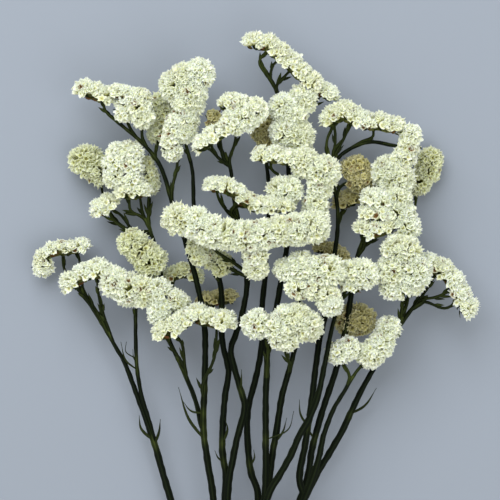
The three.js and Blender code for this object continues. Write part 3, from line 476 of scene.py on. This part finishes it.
# Dried calyx, a papery ribbed funnel: matt, and light glows through it. It is green at the foot,
# palest at the crinkled rim and yellower in the throat. `profile` runs 0 to 1 from the foot over the
# rim down to the throat, `shade` is a draw for each calyx, `crumb` marks a brown corolla
calyx = dict(
    places=(0.0, 0.2, 0.42, 0.52, 0.68, 0.84, 1.0),  # along the profile
    colours=dict(
        white=("#5f6434", "#d8da9c", "#f2f6d8", "#f3fbea", "#f0f8e2", "#eaf0ce", "#cdca96"),
        cream=("#585c30", "#bfc182", "#dcdfb0", "#e6eece", "#dfe6c0", "#ced29a", "#a19c60"),
        olive=("#4c4e2a", "#a09c60", "#c2be88", "#d2ce9f", "#c6c18b", "#a8a266", "#746d3e"),
    ),
    shadeDark="#dcd6a0", shadeAmount=0.4,  # the yellower tint of the older calyces
    crumbColour="#74562e",
    grain=0.9,  # mm between the ribs of the paper
    roughness=0.85, translucent=0.6,
    glow=3.0, glowColour=(1.0, 0.95, 0.6),  # mm that light travels inside, and its red, green and blue
)


def paperyCalyx(tone):
    material = newMaterial(f"papery_calyx_{tone}")
    profile, shade, crumb = (
        addNode(material, "Attribute", dict(attribute_name=name)).outputs["Fac"]
        for name in ("profile", "shade", "crumb"))
    place = addNode(material, "TexCoord").outputs["Object"]
    ribs = addNode(material, "TexNoise", dict(noise_dimensions="3D"),
                   dict(Scale=1 / (calyx["grain"] * mm), Detail=3.0, Roughness=0.6), dict(Vector=place))
    ramp = addNode(material, "ValToRGB", links=dict(Fac=profile))
    setStops(ramp, calyx["places"], calyx["colours"][tone])
    amount = addNode(material, "Math", dict(operation="MULTIPLY"), {1: calyx["shadeAmount"]}, {0: shade})
    aged = addNode(material, "Mix", dict(data_type="RGBA", blend_type="MULTIPLY"),
                   {"B": linear(calyx["shadeDark"])},
                   {"Factor": amount.outputs[0], "A": ramp.outputs["Color"]})
    browned = addNode(material, "Mix", dict(data_type="RGBA"), {"B": linear(calyx["crumbColour"])},
                      {"Factor": crumb, "A": aged.outputs["Result"]})
    lift = addNode(material, "MapRange", None,
                   {"From Min": 0.3, "From Max": 0.7, "To Min": 0.9, "To Max": 1.04},
                   dict(Value=ribs.outputs["Fac"]))
    tinted = addNode(material, "Mix", dict(data_type="RGBA", blend_type="MULTIPLY"),
                     {"Factor": 1.0}, {"A": browned.outputs["Result"], "B": lift.outputs["Result"]})
    values = {"Roughness": calyx["roughness"], "Subsurface Weight": calyx["translucent"],
              "Subsurface Radius": calyx["glowColour"], "Subsurface Scale": calyx["glow"] * mm,
              "Specular IOR Level": 0.25}
    return finishMaterial(material, values, {"Base Color": tinted.outputs["Result"]},
                          ribs.outputs["Fac"], dict(Strength=0.35, Distance=0.2 * mm))


# Dried green stem, fibrous and winged: dark green on the wings' edges and olive at the nodes, with
# painted shade that makes it nearly black in the grooves between the wings. `wing` is 0 in a groove,
# where the painted shade is full, and 1 on an edge, `green` marks nodes and leaves, `red` dry bracts
# and `cut` the cut ends
stalkLooks = dict(
    # the first colour is painted shade: the stem's dark green darkened to near black in the grooves
    groove="#050a06", wingColour="#182312", nodeColour="#5c6a30", dryColour="#7a5230",
    cutColour="#8f8a5a",
    streak=(1.6, 14.0), patch=22,  # mm across and along the fibres, and across a paler patch
    roughness=0.75, shine=0.08,
)


def winged(looks):
    material = newMaterial("dried_green_stem")
    wing, green, dry, cut = (
        addNode(material, "Attribute", dict(attribute_name=name)).outputs["Fac"]
        for name in ("wing", "green", "red", "cut"))
    place = addNode(material, "TexCoord").outputs["Object"]
    across, along = (1 / (size * mm) for size in looks["streak"])
    stretched = addNode(material, "Mapping", None, dict(Scale=(across, along, across)), dict(Vector=place))
    fibres = addNode(material, "TexNoise", None, dict(Scale=1.0, Detail=4.0, Roughness=0.65),
                     dict(Vector=stretched.outputs["Vector"]))
    patches = addNode(material, "TexNoise", None,
                      dict(Scale=1 / (looks["patch"] * mm), Detail=2.0), dict(Vector=place))
    # painted shade: the colour runs from near black in the grooves to dark green where the wings' edges catch
    # the light, broken by the fibres
    lit = addNode(material, "Math", dict(operation="MULTIPLY"), None, {0: wing, 1: fibres.outputs["Fac"]})
    skin = addNode(material, "Mix", dict(data_type="RGBA"),
                   {"A": linear(looks["groove"]), "B": linear(looks["wingColour"])},
                   {"Factor": lit.outputs[0]})
    paler = addNode(material, "Math", dict(operation="MULTIPLY"), None,
                    {0: green, 1: patches.outputs["Fac"]})
    for colour, amount in (("nodeColour", paler.outputs[0]), ("dryColour", dry), ("cutColour", cut)):
        skin = addNode(material, "Mix", dict(data_type="RGBA"), {"B": linear(looks[colour])},
                       {"Factor": amount, "A": skin.outputs["Result"]})
    values = {"Roughness": looks["roughness"], "Specular IOR Level": looks["shine"]}
    return finishMaterial(material, values, {"Base Color": skin.outputs["Result"]},
                          fibres.outputs["Fac"], dict(Strength=0.6, Distance=0.3 * mm))


# Natural rubber band, moulded: soft tan with a dusty bloom that hides its gloss
bandLooks = dict(tan="#b9935c", dust="#c9ad82", bloom=3.0, roughness=0.55)  # bloom patches in mm


def naturalRubber(looks):
    material = newMaterial("natural_rubber")
    place = addNode(material, "TexCoord").outputs["Object"]
    bloom = addNode(material, "TexNoise", None,
                    dict(Scale=1 / (looks["bloom"] * mm), Detail=4.0), dict(Vector=place))
    skin = addNode(material, "Mix", dict(data_type="RGBA"),
                   {"A": linear(looks["tan"]), "B": linear(looks["dust"])},
                   {"Factor": bloom.outputs["Fac"]})
    return finishMaterial(material, dict(Roughness=looks["roughness"]),
                          {"Base Color": skin.outputs["Result"]},
                          bloom.outputs["Fac"], dict(Strength=0.2, Distance=0.1 * mm))


# Stems and branches
stemSizes = dict(
    heights=(20, 120, 300, 470), tips=(3.2, 3.8, 3.0, 2.0),  # half width over the wings, up a stem
    endTip=1.9, endTaper=90,  # the half width at its end, reached over this length
    branchTip=2.0, rachisTip=1.5,  # half widths of branches and of the stalks along combs
    twigStep=2.5, twigEnd=0.9,  # mm from section to section of a twig, and its end as a part of rachisTip
    steepRise=0.7,  # a branch that rises more steeply has its wings turned
    dull=0.06, nodeLight=0.5, nodeReach=4.0,  # green between the nodes, at one, and its reach in mm
    fresh=(0.2, 0.75), forkBelow=3,  # green of the branches, and how many steps lower they fork
    grooveGreen=0.4,  # part of the green that is left in the grooves, where painted shade dims the rest
    step=3.0, grip=16, butt=-75, splay=1.35, bundleDrop=3.6,
    wave=0.24, waveLengths=(4.05, 9.0, 24.3),  # depth and mm of the waves in the wings' edges
)
wingAngles = np.radians([-25, -7, 0, 7, 25, 60])  # a wing's section, from its edge to the groove
wingReach = np.array([0.56, 0.92, 1.0, 0.92, 0.56, 0.46])
# 0 in the groove, where the painted shade is full, to 1 on the edge, which also waves most
wingEdge = np.array([0.35, 0.85, 1.0, 0.85, 0.35, 0.0])
bandHeight = bandCentre[2]


def stemPath(at, line):
    s = stemSizes
    bundle = bandHeight - s["bundleDrop"]
    butt = (at[0] * s["splay"], s["butt"], bandHeight + (at[1] - s["bundleDrop"]) * s["splay"])
    low, high = ((at[0], side * s["grip"] / 2, bundle + at[1]) for side in (-1, 1))
    upper = smoothPath([high, *line], s["step"])
    return np.vstack([evenPath(np.array([butt, low]), s["step"]), upper])


# Winged stem: the reach at angle a is radius times the wing's section there, and the wings' edges
# rise and fall with three sines along the stem, each wing with its own phases
def wingedStem(path, radius, rng, up=(0, 0, 1), ends=(0, 0), green=0.0):
    s = stemSizes
    angles = np.concatenate([wingAngles + turn for turn in np.radians([0, 120, 240])])
    edge = np.tile(wingEdge, 3)
    along = np.linspace(0, 1, len(path)) * (len(path) - 1) * s["step"]
    phases = rng.uniform(0, 2 * np.pi, (3, 3))
    waves = sum(np.sin(2 * np.pi * along[:, None] / length + phase) / 3
                for length, phase in zip(s["waveLengths"], phases))
    ragged = 1 - s["wave"] * edge * (0.5 + 0.5 * np.repeat(waves, 6, axis=1))
    radius = np.broadcast_to(radius, len(path))
    reach = radius[:, None] * np.tile(wingReach, 3) * ragged
    cut = np.zeros((len(path), 1))
    # the nodes' green is dimmed towards the grooves by painted shade
    fresh = np.clip(np.broadcast_to(green, len(path)), 0, 1)[:, None] * lerp(s["grooveGreen"], 1, edge)
    made = tube(path, up, angles, reach, wing=edge + 0 * reach, cut=cut + 0 * reach, green=fresh)
    made["values"]["cut"][-2:] = ends
    return made


def nearestIndex(path, place):
    return int(np.argmin(np.linalg.norm(path - np.asarray(place, float), axis=1)))


# How green a stem is along its path: bright at the nodes where branches and leaves leave it
def nodeGreen(name, path):
    s = stemSizes
    feet = [b["line"][0] for b in branches.values() if b["grows"] == name]
    feet += [way[0] for _, combs in heads.values() for c in combs if c["stem"] == name for way in c["ways"]]
    feet += [(*points[0], path[np.argmin(abs(path[:, 1] - points[0][1])), 2])
             for stem, _, points in nodeLeaves if stem == name]
    away = [abs(np.arange(len(path)) - nearestIndex(path, foot)) * s["step"] for foot in feet]
    light = sum(s["nodeLight"] * np.exp(-(d / s["nodeReach"]) ** 2) for d in away)
    return s["dull"] + light


# Leaves that stand off the nodes, from points on the photograph's stems: the stem, the foot, and
# the points that each slim leaf passes up to its tip
nodeLeaves = [
    ("stem_1", 2.6, [(-65.8, 176), (-74.0, 187), (-75.5, 198)]),
    ("stem_1", 2.4, [(-63, 175), (-59.5, 184), (-58.2, 195)]),
    ("branch_low", 1.6, [(-77, 234), (-86, 243), (-89.8, 258)]),
    ("branch_low", 1.0, [(-86, 243), (-86, 250), (-85.2, 258)]),
    ("branch_low", 1.1, [(-77.5, 240), (-79.5, 245), (-80.1, 252)]),
    ("stem_2", 2.6, [(-23, 181), (-35, 197), (-43, 222)]),
    ("stem_2", 1.8, [(-27, 200), (-33, 203), (-39.3, 211)]),
    ("stem_3", 2.4, [(-7.7, 176), (-3.8, 187), (-6, 196)]),
    ("stem_3", 1.6, [(-8.5, 160), (-11.5, 164), (-14, 170)]),
    ("stem_5", 1.4, [(33, 180), (45, 188), (49.5, 203)]),
    ("stem_12", 1.8, [(7.7, 219), (7.4, 227), (7.7, 236)]),
    ("stem_4", 1.8, [(15.5, 157), (18.0, 163), (17.4, 170)]),
    ("stem_6", 2.0, [(34, 176), (41, 186), (44, 197)]),
    ("stem_9", 2.0, [(66, 178), (61, 188), (60, 200)]),
    ("stem_11", 2.2, [(96, 198), (108, 206), (117, 220)]),
    ("stem_8", 2.0, [(61, 190), (55, 200), (54, 212)]),
]


longLeafShape = dict(
    step=2.0, rise=(1, 4),  # mm between its sections, and mm that it rises from point to point
    angles=(0, 60, 90, 120, 180, 240, 270, 300),
    section=(0.28, 0.7, 1.0, 0.7, 0.28, 0.7, 1.0, 0.7),
    belly=0.55, tip=0.06, thinnest=0.22, wing=0.6, green=0.25,
)


# A leaf along a few points: a tube with a flat section. Its half width at u from foot to tip is
# width / 2 times the sine of pi u to the power `belly`
def longLeaf(points, width):
    f = longLeafShape
    path = smoothPath(points, f["step"])
    u = np.linspace(0, 1, len(path))
    half = 0.5 * width * np.clip(np.sin(np.pi * u**f["belly"]), f["tip"], 1)
    section = np.array(f["section"])
    reach = np.maximum(half[:, None] * section, f["thinnest"])
    # `wing` follows the section, so the middles of the flat faces take more of the near-black painted groove
    # shade than the sides
    return tube(path, (0, 0, 1), np.radians(f["angles"]), reach,
                wing=np.tile(section, (len(path), 1)) * f["wing"], green=f["green"])


# Combs: rows of tufts of calyces. Distances without a unit are parts of a comb's or tuft's radius
combLooks = dict(
    puff=1.1,  # the calyces reach this many times the radius of the solid comb
    tuftStep=1.2, tuftEnd=0.12,  # from tuft to tuft, and from a comb's end to the first
    tuftSize=(0.9, 1.04), tuftShift=0.08, tuftRise=0.5,  # a tuft moves half as much up as sideways
    facing=0.8,  # a comb whose `up` rises more than this faces the viewer
    lowest=(-0.4, 0.12),  # how low a tuft's calyces start, on combs that face the viewer and others
    spacing=4.5, cell=0.866,  # mm between the mouths, each with cell times spacing squared to itself
    scatter=0.09, lean=0.12,  # random turns of the directions, and of the calyces about their feet
    reach=(0.9, 1.03),  # from a tuft's middle to the mouths
    clearOf=0.84,  # no mouth stands within this part of a neighbouring tuft
    foot=0.32, footSpread=0.12,  # the feet are this far under the middle, and spread this much
    mouth=(0.84, 1.12),  # sizes of the calyces, as parts of calyxShape's
    tuftShade=0.6, shadePower=1.3,  # a calyx shares this part of its shade with its tuft
    crumbShare=0.035, throat=0.7,  # part of them with a brown corolla, which starts here
)
coreLooks = dict(
    part=0.46, drop=0.12,  # radius of the green middle that the calyces grow from, and its place
    step=3.0, sides=10, rough=0.08, blunt=6, tip=0.04, shade=0.6,
)
rachisSizes = dict(
    valley=0.62, spread=220, thick=0.75, gap=0.45,  # where the stalk along a comb lies, as in the solids
    inset=0.04, step=2.5,
)
bractLooks = dict(
    step=4.6, length=(8.0, 12.0), width=3.4,
    rows=((-1, 0.05), (1, 0.05), (-0.75, -0.32), (0.75, -0.32)),  # sideways, and lift
    lean=(28, 58), sway=0.5, under=0.5, out=0.12, shift=1.5, fold=0.3, curl=(-0.3, 0.1),
    # wing: how far a bract's colour goes from the near-black painted groove shade towards the wing green
    dryShare=0.22, dry=(0.3, 0.9), wing=0.6, green=(0.2, 1.0),
)
leafLooks = dict(
    every=3, length=(7.0, 13.0), width=2.6,  # a leaf to so many steps of a branch
    # wing: how far a leaf's colour goes from the near-black painted groove shade towards the wing green
    slant=(0.1, 0.45), fold=0.2, curl=(-0.1, 0.25), wing=0.7, green=(0.1, 0.6),
)

# Calyx shapes. A point on ring i at angle a lies radius(i) out and height(i) up the calyx, with five
# lobes and a crinkle that both grow towards the rim
calyxShape = dict(
    kinds=14, around=15, lobes=5,
    rings=[(0.25, 0.6), (1.0, 3.0), (0.89, 1.6), (0.74, 0.6)],  # height part, radius mm
    frill=[0.0, 1.0, 0.5, 0.0],
    profile=[0.0, 0.52, 0.8, 1.0],
    lobe=0.13, crinkle=0.15, rise=0.045, squash=0.16,
)


def calyxKinds(rng):
    c = calyxShape
    height, radius = np.array(c["rings"]).T
    frill = np.array(c["frill"])[None, :, None]
    angle = ringAngles(c["around"])
    size = (c["kinds"], len(height), c["around"])
    wave = np.cos(c["lobes"] * angle + rng.uniform(0, 2 * np.pi, (c["kinds"], 1, 1)))
    outwards = radius[None, :, None] * (1 + frill * (c["lobe"] * wave + c["crinkle"] * rng.normal(size=size)))
    upwards = height[None, :, None] + frill * c["rise"] * (wave + rng.normal(size=size))
    squash = 1 + frill * rng.uniform(-c["squash"], c["squash"], (c["kinds"], 1, 1))
    points = np.stack([outwards * squash * np.cos(angle), outwards / squash * np.sin(angle), upwards], -1)
    here = np.arange(len(height) * c["around"]).reshape(len(height), -1)
    return points.reshape(c["kinds"], -1, 3), [ringQuads(here), np.stack([here[0][::-1], here[-1]])]


# Points spread evenly over a sphere: heights at even steps, each turned on by the golden angle
def evenDirections(count):
    k = np.arange(count)
    z = 1 - (2 * k + 1) / count
    turn = k * np.pi * (3 - math.sqrt(5))
    flat = np.sqrt(1 - z**2)
    return np.stack([flat * np.cos(turn), flat * np.sin(turn), z], axis=1)


def combFrame(c, path):
    tangent = unit(np.gradient(path, axis=0))
    up = unit(c["up"] - (tangent @ c["up"])[:, None] * tangent)
    return tangent, up, np.cross(tangent, up)


# Tufts along a comb: middles, radii and the way up at each
def tuftsOf(c, rng):
    k = combLooks
    path = smoothPath(c["line"], fineStep)
    length = (len(path) - 1) * fineStep
    count = max(2, round(length / (k["tuftStep"] * c["radius"])) + 1)
    inset = k["tuftEnd"] * c["radius"] / length
    index = np.round(np.linspace(inset, 1 - inset, count) * (len(path) - 1)).astype(int)
    _, up, side = (v[index] for v in combFrame(c, path))
    radius = c["radius"] * k["puff"] * rng.uniform(*k["tuftSize"], count)
    lowest = k["lowest"][0 if c["up"][2] > k["facing"] else 1]
    shift = rng.uniform(-k["tuftShift"], k["tuftShift"], (count, 2)) * c["radius"]
    middle = path[index] + side * shift[:, :1] + up * shift[:, 1:] * k["tuftRise"]
    return [dict(middle=m, radius=r, up=u, lowest=lowest) for m, r, u in zip(middle, radius, up)]


# Calyces of a head: on each tuft they point to evenly spread directions, but for those below it and
# those inside a neighbouring tuft. Each shape is stretched from its foot to its mouth
def calyces(tufts, kinds, rng):
    k = combLooks
    middles = np.array([t["middle"] for t in tufts])
    radii = np.array([t["radius"] for t in tufts])
    feet, mouths, shades = [], [], []
    for i, tuft in enumerate(tufts):
        count = round(4 * np.pi * tuft["radius"] ** 2 / (k["cell"] * k["spacing"] ** 2))
        spun = np.linalg.qr(rng.normal(size=(3, 3)))[0]
        out = unit(evenDirections(count) @ spun + rng.normal(scale=k["scatter"], size=(count, 3)))
        out = out[out @ tuft["up"] > tuft["lowest"]]
        mouth = tuft["middle"] + out * tuft["radius"] * rng.uniform(*k["reach"], (len(out), 1))
        apart = np.linalg.norm(mouth[:, None] - middles[None], axis=2)
        apart[:, i] = np.inf
        mouth = mouth[(apart > k["clearOf"] * radii).all(1)]
        foot = tuft["middle"] - tuft["up"] * k["foot"] * tuft["radius"]
        feet.append(foot + (mouth - tuft["middle"]) * k["footSpread"])
        mouths.append(mouth)
        shades.append(rng.random() * k["tuftShade"] + (1 - k["tuftShade"]) * rng.random(len(mouth)))
    feet, mouths, shades = np.vstack(feet), np.vstack(mouths), np.concatenate(shades)
    count = len(feet)
    axis = mouths - feet
    length = np.linalg.norm(axis, axis=1)
    axis = unit(unit(axis) + rng.normal(scale=k["lean"], size=axis.shape))
    helper = unit(rng.normal(size=axis.shape))
    right = unit(np.cross(axis, helper))
    ahead = np.cross(axis, right)
    shapes = kinds[0][rng.integers(len(kinds[0]), size=count)]
    size = rng.uniform(*k["mouth"], count)[:, None, None]
    points = (feet[:, None] + shapes[..., :1] * size * right[:, None]
              + shapes[..., 1:2] * size * ahead[:, None]
              + shapes[..., 2:] * length[:, None, None] * axis[:, None])
    each = shapes.shape[1]
    rings = np.repeat(calyxShape["profile"], calyxShape["around"])
    browned = (rng.random(count) < k["crumbShare"])[:, None] * (rings > k["throat"])
    return part(points, repeated(kinds[1], count, each), profile=np.tile(rings, count),
                crumb=browned.ravel(), shade=np.repeat(shades ** k["shadePower"], each)), count


# The green middle of a comb: a tube along its line. At t from -1 to 1 along it the radius is `part`
# times the comb's, times the square root of 1 - t to the power `blunt`, which rounds the ends
def combCore(c, rng):
    k = coreLooks
    path = smoothPath(c["line"], k["step"])
    _, up, _ = combFrame(c, path)
    path = path - up * k["drop"] * c["radius"]
    t = np.linspace(-1, 1, len(path))
    reach = k["part"] * c["radius"] * np.sqrt(np.clip(1 - np.abs(t) ** k["blunt"], k["tip"], 1))[:, None]
    reach = reach * (1 + k["rough"] * rng.normal(size=(len(path), k["sides"])))
    return tube(path, up[0], ringAngles(k["sides"]), reach, profile=0 * reach, shade=k["shade"], crumb=0)


# Bracts, the pointed scales that hold the calyces: rows on both sides of a comb's underside, each
# leaning outwards and along the comb
def combBracts(c, rng):
    b = bractLooks
    path = evenPath(smoothPath(c["line"], fineStep), b["step"])
    tangent, up, side = combFrame(c, path)
    under = path - up * (b["under"] * c["radius"])
    rows = []
    for sideways, lift in b["rows"]:
        count = len(path)
        lean = np.radians(rng.uniform(*b["lean"], (count, 1)))
        out = side * sideways
        sway = rng.uniform(-b["sway"], b["sway"], (count, 1))
        direction = out * np.cos(lean) + up * (np.sin(lean) + lift) + tangent * sway
        shift = rng.uniform(-b["shift"], b["shift"], (count, 1))
        foot = under + out * b["out"] * c["radius"] + tangent * shift
        dry = (rng.random(count) < b["dryShare"]) * rng.uniform(*b["dry"], count)
        rows.append(blades(foot, direction, out - up * b["fold"], rng.uniform(*b["length"], count),
                           b["width"], rng.uniform(*b["curl"], count), wing=b["wing"],
                           green=rng.uniform(*b["green"], count), red=dry))
    return rows


# Small leaves along a branch, each at a slant to it on one side or the other
def branchLeaves(branch, rng):
    f = leafLooks
    tangent = unit(np.gradient(branch, axis=0))
    at = rng.permutation(np.arange(2, len(branch) - 1))[:len(branch) // f["every"]]
    count = len(at)
    side = unit(np.cross(tangent[at], (0, 0, 1)) + 1e-6) * rng.choice([-1, 1], (count, 1))
    direction = tangent[at] + side * rng.uniform(*f["slant"], (count, 1))
    return blades(branch[at], direction, (0, 0, 1) + side * f["fold"], rng.uniform(*f["length"], count),
                  f["width"], rng.uniform(*f["curl"], count), wing=f["wing"],
                  green=rng.uniform(*f["green"], count))


# The stalk along a comb's underside, and the branches that lead from it down to the stem
def combStalks(c, parentPath, rng):
    r, s = rachisSizes, stemSizes
    path = smoothPath(c["line"], fineStep)
    _, up, _ = combFrame(c, path)
    drop = c["radius"] * r["valley"] * -math.cos(math.radians(r["spread"] / 2)) + r["thick"] + r["gap"]
    first, last = (int(part * len(path)) for part in (r["inset"], 1 - r["inset"]))
    rachis = evenPath((path - up * drop)[first:last], r["step"])
    parts = [wingedStem(rachis, s["rachisTip"], rng, -c["up"], green=s["fresh"][0])]
    for way in c["ways"]:
        foot = parentPath[max(nearestIndex(parentPath, way[0]) - s["forkBelow"], 0)]
        branch = smoothPath([foot, *way, rachis[nearestIndex(rachis, way[-1])]], s["twigStep"])
        steep = abs(unit(branch[1] - branch[0])[2]) > s["steepRise"]
        radius = lerp(s["branchTip"], s["rachisTip"] * s["twigEnd"], np.linspace(0, 1, len(branch)))
        parts.append(wingedStem(branch, radius, rng, (1, 0, 0) if steep else (0, 0, 1),
                                green=rng.uniform(*s["fresh"])))
        parts.append(branchLeaves(branch, rng))
    return parts


# Making the pieces
print("stage: materials")
calyxMaterials = {tone: paperyCalyx(tone) for tone in calyx["colours"]}
stemMaterial = winged(stalkLooks)
rubber = naturalRubber(bandLooks)

print("stage: stems and branches")
seeds = dict(stems=84, combs=1000)
rng = np.random.default_rng(seeds["stems"])
paths, green = {}, {}
for name, stem in stems.items():
    path = stemPath(**stem)
    radius = np.interp(path[:, 1], stemSizes["heights"], stemSizes["tips"])
    left = (len(path) - 1 - np.arange(len(path))) * stemSizes["step"] / stemSizes["endTaper"]
    radius = lerp(stemSizes["endTip"], radius, np.clip(left, 0, 1))
    paths[name] = path
    green[name] = [wingedStem(path, radius, rng, ends=(1, 0), green=nodeGreen(name, path))]
owners = {name: name for name in stems}
for name, branch in branches.items():
    foot = paths[branch["grows"]][nearestIndex(paths[branch["grows"]], branch["line"][0])]
    path = smoothPath([foot, *branch["line"]], stemSizes["step"])
    paths[name] = path
    owners[name] = branch["grows"]
    radius = lerp(branch["radius"], stemSizes["branchTip"], np.linspace(0, 1, len(path)))
    green[branch["grows"]].append(wingedStem(path, radius, rng, green=nodeGreen(name, path)))

for stem, width, points in nodeLeaves:
    path = paths[stem]
    foot = path[np.argmin(np.linalg.norm(path[:, :2] - np.array(points[0]), axis=1))]
    rise = rng.uniform(*longLeafShape["rise"])
    line = [foot] + [(x, y, foot[2] + rise * (i + 1)) for i, (x, y) in enumerate(points[1:])]
    green[owners[stem]].append(longLeaf(line, width))

print("stage: combs")
kinds = calyxKinds(rng)
pieces = []
total = 0
for order, (name, (tone, combs)) in enumerate(heads.items()):
    draw = np.random.default_rng(seeds["combs"] + order)
    tufts = [tuft for c in combs for tuft in tuftsOf(c, draw)]
    flowers, count = calyces(tufts, kinds, draw)
    total += count
    cores = [combCore(c, draw) for c in combs]
    pieces.append(makePiece("calyces_" + name, [flowers, *cores], calyxMaterials[tone],
                            ["head_" + name]))
    holder = owners[next(c["stem"] for c in combs if c["stem"])]
    for c in combs:
        green[holder].extend(combBracts(c, draw))
        if c["stem"]:
            green[owners[c["stem"]]].extend(combStalks(c, paths[c["stem"]], draw))
print("calyces:", total)

for name, parts in green.items():
    pieces.append(makePiece("winged_" + name, parts, stemMaterial, [name], smooth=True))

print("stage: band")
bandSizes = dict(
    inner=14.5, outer=16.45, turn=3.4, turns=3,  # radii, width of a turn and number of turns
    corner=0.45, tilt=0.5, turnPhase=1.3,  # how square its section is, and how askew it lies
    dents=3, dent=0.12, around=120, section=16,
)


# Each turn is a ring. At angle a round it and s round its section it lies at the middle radius plus
# half the thickness times cos s, and half the width times sin s along, both with squarer corners
def bandTurn(middle, phase):
    b = bandSizes
    angle, s = ringAngles(b["around"])[:, None], ringAngles(b["section"])[None, :]
    square = lambda v: np.sign(v) * np.abs(v) ** b["corner"]
    thick, wide = (b["outer"] - b["inner"]) / 2, b["turn"] / 2
    dents = b["dent"] * np.sin(b["dents"] * angle + phase) - b["dent"]
    radius = b["inner"] + thick + thick * square(np.cos(s)) + dents
    y = middle + wide * square(np.sin(s)) + b["tilt"] * np.sin(angle + phase)
    points = np.stack([radius * np.cos(angle), y + 0 * radius, bandHeight + radius * np.sin(angle)], -1)
    here = np.arange(b["around"] * b["section"]).reshape(b["around"], -1)
    onward, beside = np.roll(here, -1, 0), np.roll(here, -1, 1)
    quads = np.stack([here, onward, np.roll(onward, -1, 1), beside], -1).reshape(-1, 4)
    return part(points, [quads])


turns = [bandTurn((i - (bandSizes["turns"] - 1) / 2) * bandSizes["turn"], bandSizes["turnPhase"] * i)
         for i in range(bandSizes["turns"])]
pieces.append(makePiece("rubber_band", turns, rubber, ["tie_band"], smooth=True))
print("triangles:", triangleCount(pieces), "largest piece:", max(triangleCount([p]) for p in pieces))

print("stage: floor, light and camera")
# A plain matt card, pale blue-grey; its side in metres
floorLooks = dict(colour="#8b94a2", side=4.0, roughness=0.9)


def paleCard(looks):
    values = {"Base Color": linear(looks["colour"]), "Roughness": looks["roughness"]}
    return finishMaterial(newMaterial("pale_card"), values, {})


half = floorLooks["side"] / 2
floorMesh = bpy.data.meshes.new("floor")
corners = [(-half, -half, 0), (half, -half, 0), (half, half, 0), (-half, half, 0)]
floorMesh.from_pydata(corners, [], [(0, 1, 2, 3)])
floorMesh.materials.append(paleCard(floorLooks))
floor = addObject("floor", floorMesh)

# The picture's middle and the lens in mm, and the camera's height in metres
view = dict(middle=(14.4, 332.0), height=2.255, lens=198.0, sensor=36.0)
camera = addObject("camera", bpy.data.cameras.new("camera"))
camera.data.lens, camera.data.sensor_width = view["lens"], view["sensor"]
x, y = (np.array(view["middle"]) + layoutShift[:2]) * mm
camera.location = (x, y, view["height"])
camera.rotation_euler = (0, 0, 0)
bpy.context.scene.camera = camera

lamps = {  # place and size in metres, power in watts
    "key": dict(place=(-0.5, 1.2, 1.7), size=1.8, power=39),
    "fill": dict(place=(0.9, -0.6, 1.9), size=1.8, power=16),
}
lampAim = (0, 0.1, 0)
studio = dict(colour="#f6f3e8", strength=0.72)
for name, lamp in lamps.items():
    light = addObject(name, bpy.data.lights.new(name, "AREA"))
    light.data.energy, light.data.size = lamp["power"], lamp["size"]
    light.location = lamp["place"]
    aim = mathutils.Vector(lampAim) - mathutils.Vector(lamp["place"])
    light.rotation_mode = "QUATERNION"
    light.rotation_quaternion = aim.to_track_quat("-Z", "Y")
world = bpy.data.worlds.new("soft studio")
bpy.context.scene.world = world
world.use_nodes = True
background = world.node_tree.nodes["Background"].inputs
background["Color"].default_value = linear(studio["colour"])
background["Strength"].default_value = studio["strength"]
bpy.context.scene.view_settings.view_transform = "Standard"
